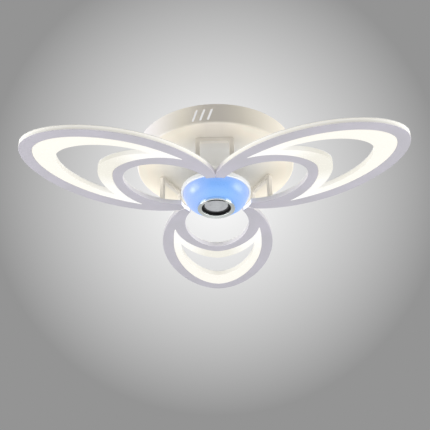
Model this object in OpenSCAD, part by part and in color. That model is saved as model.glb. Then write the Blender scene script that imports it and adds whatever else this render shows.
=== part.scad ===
// Semi-flush LED ceiling light: three flat petals carried by brackets under a round canopy,
// with a glowing pod in the middle that holds a small loudspeaker.
// Millimetres, +Z up. The origin is the middle of the ceiling face, so the light hangs below z = 0.
// One petal points along +Y and the other two stand 120 degrees to either side of it.

/* [Canopy] */
// Outer diameter of the canopy drum
canopy_d = 250; // [230:5:300]
// Height of the canopy drum
canopy_h = 34.5; // [30:0.5:45]
// Sheet thickness of the canopy
canopy_wall = 1.2; // [0.8:0.1:2]
// Outer radius of the rolled lower edge
canopy_edge_r = 3; // [2.5:0.5:6]
// Clearance between the canopy floor and the lower face of the petals
petal_drop = 54.5; // [45:0.5:80]

/* [Vents] */
// Vent groups round the drum
vent_groups = 3; // [1:1:3]
// Slots in one vent group
vent_slots = 3; // [1:1:5]
// Height of a vent slot
vent_h = 22; // [8:1:24]
// Height of the middle of a vent slot above the canopy floor
vent_mid_z = 16; // [14:0.5:17]
// Width of a vent slot
vent_w = 3.6; // [1.5:0.1:4]
// Spacing of the slots along the wall
vent_pitch = 11.6; // [8:0.2:14]
// Lean of a slot from the vertical, in degrees
vent_lean = 19; // [0:1:30]

/* [Ceiling bar] */
// Width of the ceiling bar
bar_w = 30; // [24:1:40]
// Thickness of the ceiling bar
bar_t = 2; // [1.5:0.5:3]
// Distance between the two ceiling slots
slot_spacing = 100; // [60:5:140]
// Length of a ceiling slot, end to end
slot_len = 24; // [12:1:30]
// Width of a ceiling slot
slot_w = 5; // [4:0.5:6]
// Depth of the side screws below the ceiling
side_screw_z = 12; // [9:1:14]

/* [Petals] */
// Distance from the middle of the light to a petal's tip
petal_reach = 320; // [300:5:360]
// Greatest width of a petal
petal_w = 188; // [180:2:204]
// Distance from the middle of the light to the widest place of a petal
petal_mid = 154; // [148:1:162]
// Thickness of a petal
petal_t = 9; // [8:0.5:14]
// Width of the outer band at the tip
band_tip_w = 20; // [16:1:24]
// Width of the outer band at the sides
band_side_w = 18.5; // [15:0.5:20]
// Gap between neighbouring petals where their roots meet
petal_gap = 0.4; // [0.3:0.1:1]

/* [Petal ring and window] */
// Distance from the middle of the light to the inner ring's outer edge
ring_reach = 174; // [168:1:182]
// Distance from the middle of the light to the widest place of the inner ring
ring_mid = 92; // [88:1:94]
// Width of the inner ring
ring_w = 17; // [15:0.5:20]
// Distance from the middle of the light to the widest place of the ring's hole
core_mid = 80; // [76:1:84]
// Length of the ring's hole on its root side
core_root = 66; // [60:1:68]
// Distance from the middle of the light to the ends of the luminous field
horn_x = 96; // [95:1:104]
// Width of the luminous field where it starts beside the inner ring
horn_w = 6; // [4:0.5:8]
// Width of the luminous field beside the window, at the tip
glow_tip_w = 35.5; // [31:0.5:42]
// Width of the luminous field beside the window, at the sides
glow_side_w = 12.5; // [11:0.5:14]
// Width of the luminous field between the ring and the window
glow_inner_w = 24; // [20:1:27]
// Distance from the middle of the light to the widest place of the window's inner edge
window_mid = 116; // [112:1:120]

/* [Petal sheets] */
// Thickness of the face of a petal frame
face_t = 2; // [1.5:0.1:2.5]
// Thickness of the walls of a petal frame
frame_wall = 1.6; // [1.2:0.1:2]
// Thickness of the steel back plate
back_t = 1.2; // [1:0.1:2]
// Thickness of the face of a diffuser
diffuser_t = 2; // [1.5:0.1:2.5]
// Thickness of the skirts of a diffuser
diffuser_wall = 1.8; // [1.5:0.1:2.2]
// Clearance round a diffuser in its frame
diffuser_gap = 0.3; // [0.2:0.05:0.6]
// Thickness of a light board
board_t = 1.2; // [0.8:0.1:1.6]
// Clearance round a light board inside its diffuser
board_gap = 0.5; // [0.3:0.1:1]
// Light chips along the outer row of a board
chips_outer = 26; // [10:2:34]
// Light chips along the inner row of a board
chips_inner = 14; // [6:2:20]

/* [Brackets] */
// Distance along a petal from the middle of the light to a bracket foot
foot_u = 64.5; // [60:0.5:72]
// Distance from the edge of the ring's hole to the middle of a bracket foot
foot_inset = 7.7; // [7:0.1:10]
// Thickness of a bracket, seen from the middle of the light
bracket_t = 7; // [5.5:0.5:9]
// Depth of a bracket, towards the middle of the light
bracket_d = 6; // [5.5:0.5:9]
// Outer corner radius of a bracket
bracket_r = 3; // [1:0.5:5]
// Distance between the two screws that hold a bracket to the canopy
bracket_screw_spacing = 24; // [16:1:30]

/* [Pod] */
// Greatest diameter of the glowing dome
dome_d = 103; // [96:1:110]
// Height of the dome's widest place above the petals' lower face
dome_rise = 10; // [8:1:11]
// Depth of the dome's mouth below the petals' lower face
dome_drop = 15; // [13:0.2:20]
// Wall thickness of the dome
dome_wall = 2; // [1.5:0.1:2.5]
// Width of the white rim round the dome
base_rim = 3.2; // [2.5:0.1:5]
// Depth of the rim of the pod base
base_depth = 8; // [7:0.5:9]
// Thickness of the pod base plate
base_t = 2; // [1.5:0.1:3]
// Gap between the pod and the petal roots
pod_gap = 3; // [2:0.5:5]

/* [Speaker] */
// Outer diameter of the trim ring
trim_d = 58.6; // [56:0.2:62]
// Height of the trim ring below the dome's mouth
trim_h = 5.2; // [4.2:0.2:5.6]
// Width of the rounded rim of the trim ring
trim_rim = 1.2; // [0.8:0.1:2]
// Thickness of the trim ring's inner lip
trim_lip = 0.8; // [0.6:0.1:1.4]
// Height of the lip above the face of the trim ring
trim_dish = 1.2; // [0.6:0.2:1.8]
// Inner diameter of the black well
well_d = 45.8; // [44:0.2:47]
// Outer diameter of the black well
well_outer_d = 54; // [53:0.5:55]
// Thickness of the well's rim inside the trim ring
well_rim_t = 1.2; // [1:0.1:1.4]
// Depth from the trim ring's face to the speaker's diaphragm
well_depth = 6.8; // [5:0.2:8]
// Diameter of the diaphragm
cone_d = 36.8; // [35:0.2:37.4]
// Travel of the diaphragm each way
cone_travel = 1.5; // [0.5:0.1:2]
// Diameter of the voice coil former
coil_d = 18; // [16:0.5:20]
// Diameter of the ring magnet
magnet_d = 34; // [30:1:36]
// Height of the ring magnet
magnet_h = 6.5; // [5:0.5:7]

/* [Stem] */
// Diameter of the sleeve between the canopy and the pod
sleeve_d = 25; // [20:1:32]
// Wall thickness of the sleeve
sleeve_wall = 1.2; // [0.8:0.1:2]
// Thread diameter of the hollow nipple
nipple_d = 10; // [8:1:12]

/* [Electronics] */
// Length of the driver case
driver_l = 92; // [80:1:98]
// Width of the driver case
driver_w = 40; // [30:1:44]
// Height of the driver case
driver_h = 19; // [14:0.5:20]
// Length of the audio board
audio_l = 60; // [50:1:64]
// Width of the audio board
audio_w = 42; // [34:1:46]

/* [Hidden] */
// Every node of the light, from the ceiling down

// Smoothness of round parts, and the points along a petal's edge
$fn = 64;
edge_points = 96;
// Overrun of a cut past the face that it opens
cut = 0.5;

// Directions of the petals and of the brackets between them
rear_az = 90;
left_az = 210;
right_az = 330;
front_bracket_az = 270;
right_bracket_az = 30;
left_bracket_az = 150;

// Bluntness of the petal curves: 2 is an ellipse, less is more pointed
edge_power = 1.85;
ring_power = 1.7;
core_power = 1.9;
window_power = 1.8;

// Heights of the main faces
canopy_floor_z = -canopy_h;
petal_z = canopy_floor_z - petal_drop;
petal_top_z = petal_z + petal_t;
frame_h = petal_t - back_t;

// Half widths and reaches of the nested petal curves
petal_half = petal_w / 2;
light_half = petal_half - band_side_w;
light_reach = petal_reach - band_tip_w;
ring_half = light_half - horn_w;
core_half = ring_half - ring_w;
core_reach = ring_reach - ring_w;
window_half = light_half - glow_side_w;
window_reach = light_reach - glow_tip_w;
window_inner_reach = ring_reach + glow_inner_w;
window_root = window_mid * 2 / 3;
far = 2 * petal_reach;

// Screw sizes: shank and head diameters, head heights
m4_d = 4;
m4_head_d = 7.6;
m4_head_h = 2.4;
m3_d = 3;
m3_head_d = 5.6;
m3_head_h = 2;
face_screw_d = 2.5;
face_head_d = 4.8;
face_head_h = 1.5;
screw_gap = 0.15;
thread_gap = 0.05;

// Bracket feet in the frame of a petal, turned into the frame of a bracket
foot_v = core_half + foot_inset;
bracket_radius = foot_u * cos(60) + foot_v * sin(60);
leg_half_span = foot_u * sin(60) - foot_v * cos(60);
bracket_h = petal_drop - petal_t;
foot_bore_depth = 10;
bracket_bore_depth = bracket_t - 1.5;
pod_bore_depth = 9;

// Screws between the back plate and the frame: angles along the outer band, and one in the ring
face_screw_angles = [0, 46, -46, 92, -92];
boss_d = 5.6;

// Pod: everything is measured from the petals' lower face
dome_r = dome_d / 2;
base_inner_r = dome_r + 0.4;
base_r = base_inner_r + base_rim;
base_top_z = petal_z + dome_rise + 6;
base_low_z = base_top_z - base_depth;
base_under_z = base_top_z - base_t;
dome_wide_z = petal_z + dome_rise;
mouth_z = petal_z - dome_drop;
trim_r = trim_d / 2;
well_r = well_d / 2;
well_outer_r = well_outer_d / 2;
well_gap = 0.4;
hub_r = base_r + pod_gap;
well_rim_r = well_r + well_rim_t;
well_rim_gap = 0.1;
tongue_w = 1;
tongue_h = 2.5;
groove_mid_r = (well_rim_r + well_rim_gap + well_outer_r) / 2;

// Speaker: the flange seats against a ledge in the well
trim_face_z = mouth_z - trim_h;
lip_top_z = trim_face_z + trim_dish + trim_lip;
well_low_z = lip_top_z + well_rim_gap;
cone_z = trim_face_z + well_depth;
flange_t = 1.2;
ledge_z = cone_z + 1.9;
ledge_r = well_r - 2.4;
flange_r = well_r - 0.2;
cone_r = cone_d / 2;
cone_t = 0.6;
surround_gap = 0.3;
surround_in_r = cone_r + surround_gap;
surround_t = 0.6;
roll_r = (flange_r - surround_in_r - 1) / 2;
basket_depth = 6.4;
plate_t = 2.5;
top_plate_z = ledge_z + basket_depth;
yoke_t = 2;
magnet_z = top_plate_z + plate_t;
magnet_r = magnet_d / 2;
coil_r = coil_d / 2;
coil_wall = 0.5;
coil_gap = 0.6;
pole_r = coil_r - coil_wall - coil_gap;
gap_r = coil_r + coil_gap;
coil_top_z = top_plate_z + plate_t / 2 + 1;

// Glow board in the pod and its four colour chips
rgb_t = 1.6;
rgb_in_r = well_outer_r + well_gap;
rgb_out_r = dome_r - dome_wall - 3;
rgb_chips = 4;
rgb_chip_r = (rgb_in_r + rgb_out_r) / 2;
rgb_chip_w = 5;
rgb_chip_h = 1.6;

// Stem between the canopy floor and the pod
nipple_r = nipple_d / 2;
nipple_wall = 1.4;
nut_t = 4;
nut_af = nipple_d + 6;
washer_t = 1.5;
washer_r = nipple_r + 8;
canopy_inside_z = canopy_floor_z + canopy_wall;
nipple_top_z = canopy_inside_z + washer_t + nut_t + 2;
nipple_low_z = base_under_z - nut_t - 0.6;

// Canopy studs, what stands on them, and the room left free round the stem
canopy_r = canopy_d / 2;
canopy_in_r = canopy_r - canopy_wall;
stud_r = 1.5;
post_r = 3.2;
post_h = 4;
stud_nut_t = 2.4;
stud_nut_af = 5.5;
stem_clear = 30;
driver_y = bar_w / 2 + 17 + driver_w / 2;
driver_ear = 8;
driver_ear_t = 2;
driver_wall = 1.6;
driver_studs = [[-driver_l / 2 - driver_ear / 2, driver_y], [driver_l / 2 + driver_ear / 2, driver_y]];
audio_pos = [-stem_clear - audio_l / 2, -bar_w / 2 - audio_w / 2];
audio_t = 1.6;
audio_margin = 4;
audio_studs = [for (sx = [-1, 1], sy = [-1, 1])
    [audio_pos[0] + sx * (audio_l / 2 - audio_margin), audio_pos[1] + sy * (audio_w / 2 - audio_margin)]];
audio_z = canopy_inside_z + post_h;
terminal_l = 34;
terminal_w = 20;
terminal_h = 13;
terminal_pos = [stem_clear + 11 + terminal_l / 2, -bar_w / 2 - 13 - terminal_w / 2];
terminal_poles = 3;
terminal_pitch = 9.5;

// Ceiling bar: its ends are bent down inside the drum
bar_clear = 0.4;
tab_half_w = bar_w / 2 - 4;
tab_x = sqrt(canopy_in_r * canopy_in_r - tab_half_w * tab_half_w) - bar_clear;
tab_len = side_screw_z + 7;
side_screw_len = 9;

// A power that keeps the sign of its base
function signed_pow(v, p) = sign(v) * pow(abs(v), p);

// One point of a petal curve: blunt or pointed towards the tip, elliptical towards the root
function curve_point(a, mid, tip, root, half, power) =
    let (e = cos(a) >= 0 ? 2 / power : 1)
    [mid + (cos(a) >= 0 ? tip : root) * signed_pow(cos(a), e), half * signed_pow(sin(a), e)];

// A closed petal curve round mid, grown or shrunk by the same amount on every side
module petal_curve(mid, reach, root, half, power, grow = 0)
    polygon([for (i = [0 : edge_points - 1])
        curve_point(360 * i / edge_points, mid, reach - mid + grow, root + grow, half + grow, power)]);

// The third of the plan that belongs to one petal, drawn in by half the gap and by inset
module petal_wedge(inset = 0) {
    shift = (petal_gap / 2 + inset) / sin(60);
    polygon([[shift, 0], [shift + far, far * tan(60)], [shift + far, -far * tan(60)]]);
}

// Plan of a petal with the ring's hole and the room for the pod taken out
module petal_plan(inset = 0)
    difference() {
        intersection() {
            petal_curve(petal_mid, petal_reach, petal_mid, petal_half, edge_power, -inset);
            petal_wedge(inset);
        }
        petal_curve(core_mid, core_reach, core_root, core_half, core_power, inset);
        circle(r = hub_r + inset, $fn = edge_points);
    }

// Plan of the luminous field between the outer band and the inner ring
module light_plan(inset = 0)
    difference() {
        petal_curve(petal_mid, light_reach, petal_mid + 11, light_half, edge_power, -inset);
        petal_curve(ring_mid, ring_reach, ring_mid, ring_half, ring_power, inset);
        translate([-far, -far])
            square([far + horn_x + inset, 2 * far]);
    }

// Plan of the crescent window that goes right through the luminous field
module window_plan(grow = 0)
    difference() {
        petal_curve(petal_mid, window_reach, window_root, window_half, window_power, grow);
        petal_curve(window_mid, window_inner_reach, window_mid, ring_half, ring_power, -grow);
    }

// Places of the screws that join a back plate to its frame
function face_screw_places() = concat(
    [for (a = face_screw_angles)
        curve_point(a, petal_mid, petal_reach - band_tip_w / 2 - petal_mid, petal_mid,
            petal_half - band_side_w / 2, edge_power)],
    [[ring_reach - ring_w / 2, 0]]);

// Places of the two bracket feet on a petal
function foot_places() = [for (side = [-1, 1]) [foot_u, side * foot_v]];

// Stands a part at the petals' lower face and turns it to its petal
module at_petal(az) translate([0, 0, petal_z]) rotate(az) children();

// Stands a part under the canopy floor, turned so that its width runs round the light
module at_bracket(az) rotate(az) translate([bracket_radius, 0, canopy_floor_z]) rotate(90) children();

// A screw with a domed pan head: the head's seat is at z = 0 and the shank runs down
module pan_screw(d, length, head_d, head_h) {
    slot = d / 4;
    translate([0, 0, -length]) cylinder(d = d, h = length, $fn = 32);
    difference() {
        union() {
            cylinder(d = head_d, h = head_h * 0.6, $fn = 32);
            translate([0, 0, head_h * 0.6])
                cylinder(d1 = head_d, d2 = head_d * 0.7, h = head_h * 0.4, $fn = 32);
        }
        translate([-head_d, -slot / 2, head_h * 0.55]) cube([2 * head_d, slot, head_h]);
    }
}

// A hexagon nut standing on z = 0
module hex_nut(af, t, bore_r)
    difference() {
        cylinder(r = af / 2 / cos(30), h = t, $fn = 6);
        translate([0, 0, -cut]) cylinder(r = bore_r, h = t + 2 * cut);
    }

// Half profile of a drum with a rounded lower edge, standing on y = 0
module drum_profile(r, h, edge) {
    square([r - edge, h]);
    translate([0, edge]) square([r, h - edge]);
    translate([r - edge, edge]) circle(r = edge, $fn = 48);
}

// Ceiling bar with two slots and bent ends that take the side screws
module mounting_bar()
    color("silver")
    difference() {
        union() {
            translate([-tab_x, -bar_w / 2, -bar_t]) cube([2 * tab_x, bar_w, bar_t]);
            for (side = [-1, 1])
                translate([side * (tab_x - bar_t / 2) - bar_t / 2, -tab_half_w, -tab_len])
                    cube([bar_t, 2 * tab_half_w, tab_len]);
        }
        for (x = [-1, 1] * slot_spacing / 2) {
            translate([x - (slot_len - slot_w) / 2, -slot_w / 2, -bar_t - cut])
                cube([slot_len - slot_w, slot_w, bar_t + 2 * cut]);
            for (end = [-1, 1])
                translate([x + end * (slot_len - slot_w) / 2, 0, -bar_t - cut])
                    cylinder(d = slot_w, h = bar_t + 2 * cut);
        }
        translate([0, 0, -side_screw_z]) rotate([0, 90, 0])
            cylinder(r = m4_d / 2 + thread_gap, h = 2 * canopy_d, center = true);
        for (x = [-1, 1], y = [-1, 1])
            translate([x * tab_x, y * (bar_w / 2), -bar_t - cut])
                rotate(45) cube([8, 8, 2 * (bar_t + 2 * cut)], center = true);
    }

// One slanted vent slot with round ends, cut through the wall at angle az
module vent_slot(az)
    rotate(az) translate([canopy_r, 0, canopy_floor_z + vent_mid_z]) rotate([-vent_lean, 0, 0]) {
        span = vent_h - vent_w;
        cube([4 * canopy_edge_r, vent_w, span], center = true);
        for (z = [-span / 2, span / 2])
            translate([0, 0, z]) rotate([0, 90, 0])
                cylinder(d = vent_w, h = 4 * canopy_edge_r, center = true, $fn = 24);
    }

// Pressed canopy drum, open to the ceiling, with its vents, screw holes and welded studs
module canopy_shell()
    color("linen") {
        pitch_angle = vent_pitch / canopy_r * 180 / PI;
        difference() {
            translate([0, 0, canopy_floor_z])
                rotate_extrude($fn = 128) drum_profile(canopy_r, canopy_h, canopy_edge_r);
            translate([0, 0, canopy_inside_z])
                rotate_extrude($fn = 128)
                    drum_profile(canopy_in_r, canopy_h + cut, canopy_edge_r - canopy_wall);
            translate([0, 0, canopy_floor_z - cut])
                cylinder(r = nipple_r + screw_gap, h = canopy_wall + 2 * cut);
            for (az = [front_bracket_az, right_bracket_az, left_bracket_az])
                at_bracket(az)
                    for (x = [-1, 1] * bracket_screw_spacing / 2)
                        translate([x, 0, -cut])
                            cylinder(r = m4_d / 2 + screw_gap, h = canopy_wall + 2 * cut, $fn = 32);
            translate([0, 0, -side_screw_z]) rotate([0, 90, 0])
                cylinder(r = m4_d / 2 + screw_gap, h = 2 * canopy_d, center = true, $fn = 32);
            for (group = [0 : vent_groups - 1], i = [0 : vent_slots - 1])
                vent_slot(front_bracket_az - 8 + group * 360 / vent_groups
                    + (i - (vent_slots - 1) / 2) * pitch_angle);
        }
        for (p = audio_studs) translate([p[0], p[1], canopy_inside_z]) cylinder(r = post_r, h = post_h);
        for (p = audio_studs)
            translate([p[0], p[1], audio_z]) cylinder(r = stud_r, h = audio_t + stud_nut_t + 1, $fn = 32);
        for (p = driver_studs)
            translate([p[0], p[1], canopy_inside_z])
                cylinder(r = stud_r, h = driver_ear_t + stud_nut_t + 1, $fn = 32);
    }

// The two screws that hold the drum to the ceiling bar
module side_screws()
    color("silver")
    for (side = [0, 180])
        rotate(side) translate([canopy_r, 0, -side_screw_z]) rotate([0, 90, 0])
            pan_screw(m4_d, side_screw_len, m4_head_d, m4_head_h);

// Driver case: an open box with an ear and a cable notch at each end
module led_driver_case()
    color("whitesmoke")
    difference() {
        union() {
            translate([-driver_l / 2, driver_y - driver_w / 2, canopy_inside_z])
                cube([driver_l, driver_w, driver_h - driver_wall]);
            translate([-driver_l / 2 - driver_ear, driver_y - driver_ear, canopy_inside_z])
                cube([driver_l + 2 * driver_ear, 2 * driver_ear, driver_ear_t]);
        }
        translate([-driver_l / 2 + driver_wall, driver_y - driver_w / 2 + driver_wall,
                canopy_inside_z + driver_wall])
            cube([driver_l - 2 * driver_wall, driver_w - 2 * driver_wall, driver_h]);
        for (p = driver_studs)
            translate([p[0], p[1], canopy_inside_z - cut])
                cylinder(r = stud_r + screw_gap, h = driver_ear_t + 2 * cut, $fn = 32);
        translate([0, driver_y, canopy_inside_z + driver_h / 2]) rotate([0, 90, 0])
            cylinder(d = 7, h = driver_l + 2 * cut, center = true);
    }

// Driver lid with cooling slits
module led_driver_lid()
    color("whitesmoke")
    difference() {
        union() {
            translate([-driver_l / 2, driver_y - driver_w / 2, canopy_inside_z + driver_h - driver_wall])
                cube([driver_l, driver_w, driver_wall]);
            translate([-driver_l / 2 + driver_wall + 0.3, driver_y - driver_w / 2 + driver_wall + 0.3,
                    canopy_inside_z + driver_h - 2 * driver_wall])
                cube([driver_l - 2 * driver_wall - 0.6, driver_w - 2 * driver_wall - 0.6, driver_wall]);
        }
        for (i = [-3 : 3])
            translate([i * 7 - 1, driver_y - driver_w / 4, canopy_inside_z + driver_h - 2 * driver_wall - cut])
                cube([2, driver_w / 2, 2 * driver_wall + 2 * cut]);
    }

// Mains terminal block with a wire entry and a screw well for each pole
module terminal_block()
    color("ivory")
    translate([terminal_pos[0], terminal_pos[1], canopy_inside_z])
        difference() {
            union() {
                translate([-terminal_l / 2, -terminal_w / 2, 0]) cube([terminal_l, terminal_w, terminal_h / 2]);
                translate([-terminal_l / 2, -terminal_w / 4, 0]) cube([terminal_l, terminal_w / 2, terminal_h]);
            }
            for (i = [0 : terminal_poles - 1])
                translate([(i - (terminal_poles - 1) / 2) * terminal_pitch, 0, 0]) {
                    translate([0, 0, terminal_h / 2 - 1.5]) rotate([90, 0, 0])
                        cylinder(d = 3.6, h = terminal_w + 2 * cut, center = true, $fn = 32);
                    translate([0, 0, terminal_h / 2]) cylinder(d = 4.6, h = terminal_h, $fn = 32);
                }
        }

// Clamp screws of the terminal block
module terminal_screws()
    color("goldenrod")
    translate([terminal_pos[0], terminal_pos[1], canopy_inside_z + terminal_h / 2])
        for (i = [0 : terminal_poles - 1])
            translate([(i - (terminal_poles - 1) / 2) * terminal_pitch, 0, 0])
                difference() {
                    cylinder(d = 4.4, h = terminal_h / 2 - 2, $fn = 32);
                    translate([-3, -0.4, terminal_h / 2 - 3]) cube([6, 0.8, 2]);
                }

// Amplifier board on its four posts
module audio_board()
    color("darkgreen")
    translate([0, 0, audio_z])
        difference() {
            translate([audio_pos[0] - audio_l / 2, audio_pos[1] - audio_w / 2, 0])
                cube([audio_l, audio_w, audio_t]);
            for (p = audio_studs)
                translate([p[0], p[1], -cut])
                    cylinder(r = stud_r + screw_gap, h = audio_t + 2 * cut, $fn = 32);
        }

// Radio module: a small board under a metal shield
module bluetooth_module()
    color("silver")
    translate([audio_pos[0] - 14, audio_pos[1], audio_z + audio_t]) {
        translate([-9, -8, 0]) cube([18, 16, 0.8]);
        translate([-7, -7, 0.8]) cube([12, 14, 2]);
    }

// Capacitors, coil and plug sockets of the amplifier
module audio_components()
    color("dimgray")
    translate([audio_pos[0], audio_pos[1], audio_z + audio_t]) {
        for (x = [3, 13]) translate([x, 8, 0]) cylinder(d = 8, h = 9);
        translate([3, -9, 0]) cube([11, 11, 4.5]);
        for (y = [-10, 2]) translate([20, y, 0]) cube([6, 9, 6]);
    }

// Nuts on the canopy studs
module stud_nuts()
    color("silver") {
        for (p = audio_studs)
            translate([p[0], p[1], audio_z + audio_t]) hex_nut(stud_nut_af, stud_nut_t, stud_r + thread_gap);
        for (p = driver_studs)
            translate([p[0], p[1], canopy_inside_z + driver_ear_t])
                hex_nut(stud_nut_af, stud_nut_t, stud_r + thread_gap);
    }

// Outline of a bracket: a bar bent to an upside-down U, seen face on, with its top at y = 0
module bracket_outline(half_w, h, r) {
    translate([-half_w + r, -h]) square([2 * (half_w - r), h]);
    translate([-half_w, -h]) square([2 * half_w, h - r]);
    for (side = [-1, 1]) translate([side * (half_w - r), -r]) circle(r = r, $fn = 32);
}

// Bent bracket with tapped holes for the canopy screws and in its two feet
module bracket(az) {
    half_w = leg_half_span + bracket_t / 2;
    color("gainsboro")
    at_bracket(az)
        difference() {
            translate([0, bracket_d / 2, 0]) rotate([90, 0, 0])
                linear_extrude(bracket_d)
                    difference() {
                        bracket_outline(half_w, bracket_h, bracket_r);
                        translate([0, -bracket_t])
                            bracket_outline(half_w - bracket_t, bracket_h, bracket_r / 2);
                    }
            for (x = [-1, 1] * bracket_screw_spacing / 2)
                translate([x, 0, -bracket_bore_depth])
                    cylinder(r = m4_d / 2 + thread_gap, h = bracket_bore_depth + cut, $fn = 32);
            for (x = [-leg_half_span, leg_half_span])
                translate([x, 0, -bracket_h - cut])
                    cylinder(r = m4_d / 2 + thread_gap, h = foot_bore_depth + cut, $fn = 32);
        }
}

// Screws through the canopy floor into the brackets
module bracket_screws()
    color("silver")
    for (az = [front_bracket_az, right_bracket_az, left_bracket_az])
        at_bracket(az)
            for (x = [-1, 1] * bracket_screw_spacing / 2)
                translate([x, 0, canopy_wall])
                    pan_screw(m4_d, canopy_wall + bracket_bore_depth - 0.5, m4_head_d, m4_head_h);

// Screws from inside each petal up into the bracket feet
module foot_screws()
    color("silver")
    for (az = [rear_az, left_az, right_az])
        at_petal(az)
            for (p = foot_places())
                translate([p[0], p[1], frame_h]) rotate([180, 0, 0])
                    pan_screw(m4_d, back_t + foot_bore_depth - 1, m4_head_d, m4_head_h);

// Screws through the back plates into the frames
module face_screws()
    color("silver")
    for (az = [rear_az, left_az, right_az])
        at_petal(az)
            for (p = face_screw_places())
                translate([p[0], p[1], petal_t])
                    pan_screw(face_screw_d, petal_t - face_t - 0.6, face_head_d, face_head_h);

// Petal frame: the broad band and inner ring, a shell that is open upwards, with screw bosses
module petal_frame(az)
    color("lavender")
    at_petal(az)
        difference() {
            union() {
                difference() {
                    linear_extrude(frame_h)
                        difference() {
                            petal_plan();
                            light_plan();
                        }
                    translate([0, 0, face_t])
                        linear_extrude(frame_h)
                            difference() {
                                petal_plan(frame_wall);
                                light_plan(-frame_wall);
                            }
                }
                for (p = face_screw_places())
                    translate([p[0], p[1], face_t / 2]) cylinder(d = boss_d, h = frame_h - face_t / 2, $fn = 32);
            }
            for (p = face_screw_places())
                translate([p[0], p[1], face_t])
                    cylinder(r = face_screw_d / 2 + thread_gap, h = frame_h, $fn = 32);
        }

// Steel back plate that closes a petal from above and carries its board
module petal_back(az)
    color("whitesmoke")
    at_petal(az)
        translate([0, 0, frame_h])
            difference() {
                linear_extrude(back_t)
                    difference() {
                        petal_plan();
                        window_plan();
                    }
                for (p = foot_places())
                    translate([p[0], p[1], -cut])
                        cylinder(r = m4_d / 2 + screw_gap, h = back_t + 2 * cut, $fn = 32);
                for (p = face_screw_places())
                    translate([p[0], p[1], -cut])
                        cylinder(r = face_screw_d / 2 + screw_gap, h = back_t + 2 * cut, $fn = 32);
            }

// A row of light chips along a petal curve, between two angles
module chip_row(count, from, to, mid, tip, half, power)
    for (i = [0 : count - 1]) {
        p = curve_point(from + (to - from) * i / (count - 1), mid, tip, mid, half, power);
        translate([p[0] - 1.4, p[1] - 1.4, 0]) cube([2.8, 2.8, 0.8]);
    }

// Light board on the underside of the back plate, with its rows of chips
module light_board(az) {
    chips_side = 62;
    color("white")
    at_petal(az)
        translate([0, 0, frame_h - board_t]) {
            linear_extrude(board_t)
                difference() {
                    light_plan(diffuser_gap + diffuser_wall + board_gap);
                    window_plan(diffuser_wall + board_gap);
                }
            translate([0, 0, -0.8]) {
                chip_row(chips_outer, -chips_side, chips_side, petal_mid,
                    light_reach - glow_tip_w / 2 - petal_mid, light_half - glow_side_w / 2, edge_power);
                chip_row(chips_inner, -chips_side / 1.6, chips_side / 1.6, ring_mid,
                    ring_reach + glow_inner_w / 2 - ring_mid, ring_half + glow_inner_w / 2, ring_power);
            }
        }
}

// Acrylic diffuser: a cap with skirts that run up to the back plate, and the window through it
module petal_diffuser(az)
    color("lightyellow")
    at_petal(az)
        difference() {
            linear_extrude(frame_h)
                difference() {
                    light_plan(diffuser_gap);
                    window_plan();
                }
            translate([0, 0, diffuser_t])
                linear_extrude(frame_h)
                    difference() {
                        light_plan(diffuser_gap + diffuser_wall);
                        window_plan(diffuser_wall);
                    }
        }

// Sleeve that hides the nipple between the canopy and the pod
module stem_sleeve()
    color("white")
    translate([0, 0, base_top_z])
        difference() {
            cylinder(d = sleeve_d, h = canopy_floor_z - base_top_z);
            translate([0, 0, -cut])
                cylinder(d = sleeve_d - 2 * sleeve_wall, h = canopy_floor_z - base_top_z + 2 * cut);
        }

// Hollow threaded nipple that carries the pod and its wires
module threaded_nipple()
    color("goldenrod")
    translate([0, 0, nipple_low_z])
        difference() {
            cylinder(r = nipple_r, h = nipple_top_z - nipple_low_z);
            translate([0, 0, -cut])
                cylinder(r = nipple_r - nipple_wall, h = nipple_top_z - nipple_low_z + 2 * cut);
        }

// Washer on the canopy floor
module stem_washer()
    color("silver")
    translate([0, 0, canopy_inside_z])
        difference() {
            cylinder(r = washer_r, h = washer_t);
            translate([0, 0, -cut]) cylinder(r = nipple_r + screw_gap, h = washer_t + 2 * cut);
        }

// Nuts at both ends of the nipple
module stem_nuts()
    color("silver") {
        translate([0, 0, canopy_inside_z + washer_t]) hex_nut(nut_af, nut_t, nipple_r + thread_gap);
        translate([0, 0, base_under_z - nut_t]) hex_nut(nut_af, nut_t, nipple_r + thread_gap);
    }

// Places of the screws that hold the well to the pod base
module at_pod_screws()
    for (a = [30, 150, 270]) rotate(a) translate([groove_mid_r, 0, 0]) children();

// White pod base: a shallow tray with a rounded outer edge
module pod_base() {
    edge = 1.5;
    color("white")
    difference() {
        translate([0, 0, base_top_z]) mirror([0, 0, 1])
            rotate_extrude($fn = 96) drum_profile(base_r, base_depth, edge);
        translate([0, 0, base_low_z - cut]) cylinder(r = base_inner_r, h = base_depth - base_t + cut);
        translate([0, 0, base_low_z - cut]) cylinder(r = nipple_r + screw_gap, h = base_depth + 2 * cut);
        at_pod_screws()
            translate([0, 0, base_low_z]) cylinder(r = m3_d / 2 + screw_gap, h = base_depth + cut, $fn = 32);
    }
}

// Screws from the pod base into the well
module pod_screws()
    color("silver")
    at_pod_screws()
        translate([0, 0, base_top_z]) pan_screw(m3_d, base_t + pod_bore_depth - 1, m3_head_d, m3_head_h);

// Ring board with four colour chips that glow through the dome
module rgb_board()
    color("white") {
        translate([0, 0, base_under_z - rgb_t])
            difference() {
                cylinder(r = rgb_out_r, h = rgb_t);
                translate([0, 0, -cut]) cylinder(r = rgb_in_r, h = rgb_t + 2 * cut);
            }
        for (i = [0 : rgb_chips - 1])
            rotate(45 + i * 360 / rgb_chips)
                translate([rgb_chip_r - rgb_chip_w / 2, -rgb_chip_w / 2, base_under_z - rgb_t - rgb_chip_h])
                    cube([rgb_chip_w, rgb_chip_w, rgb_chip_h]);
    }

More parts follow.
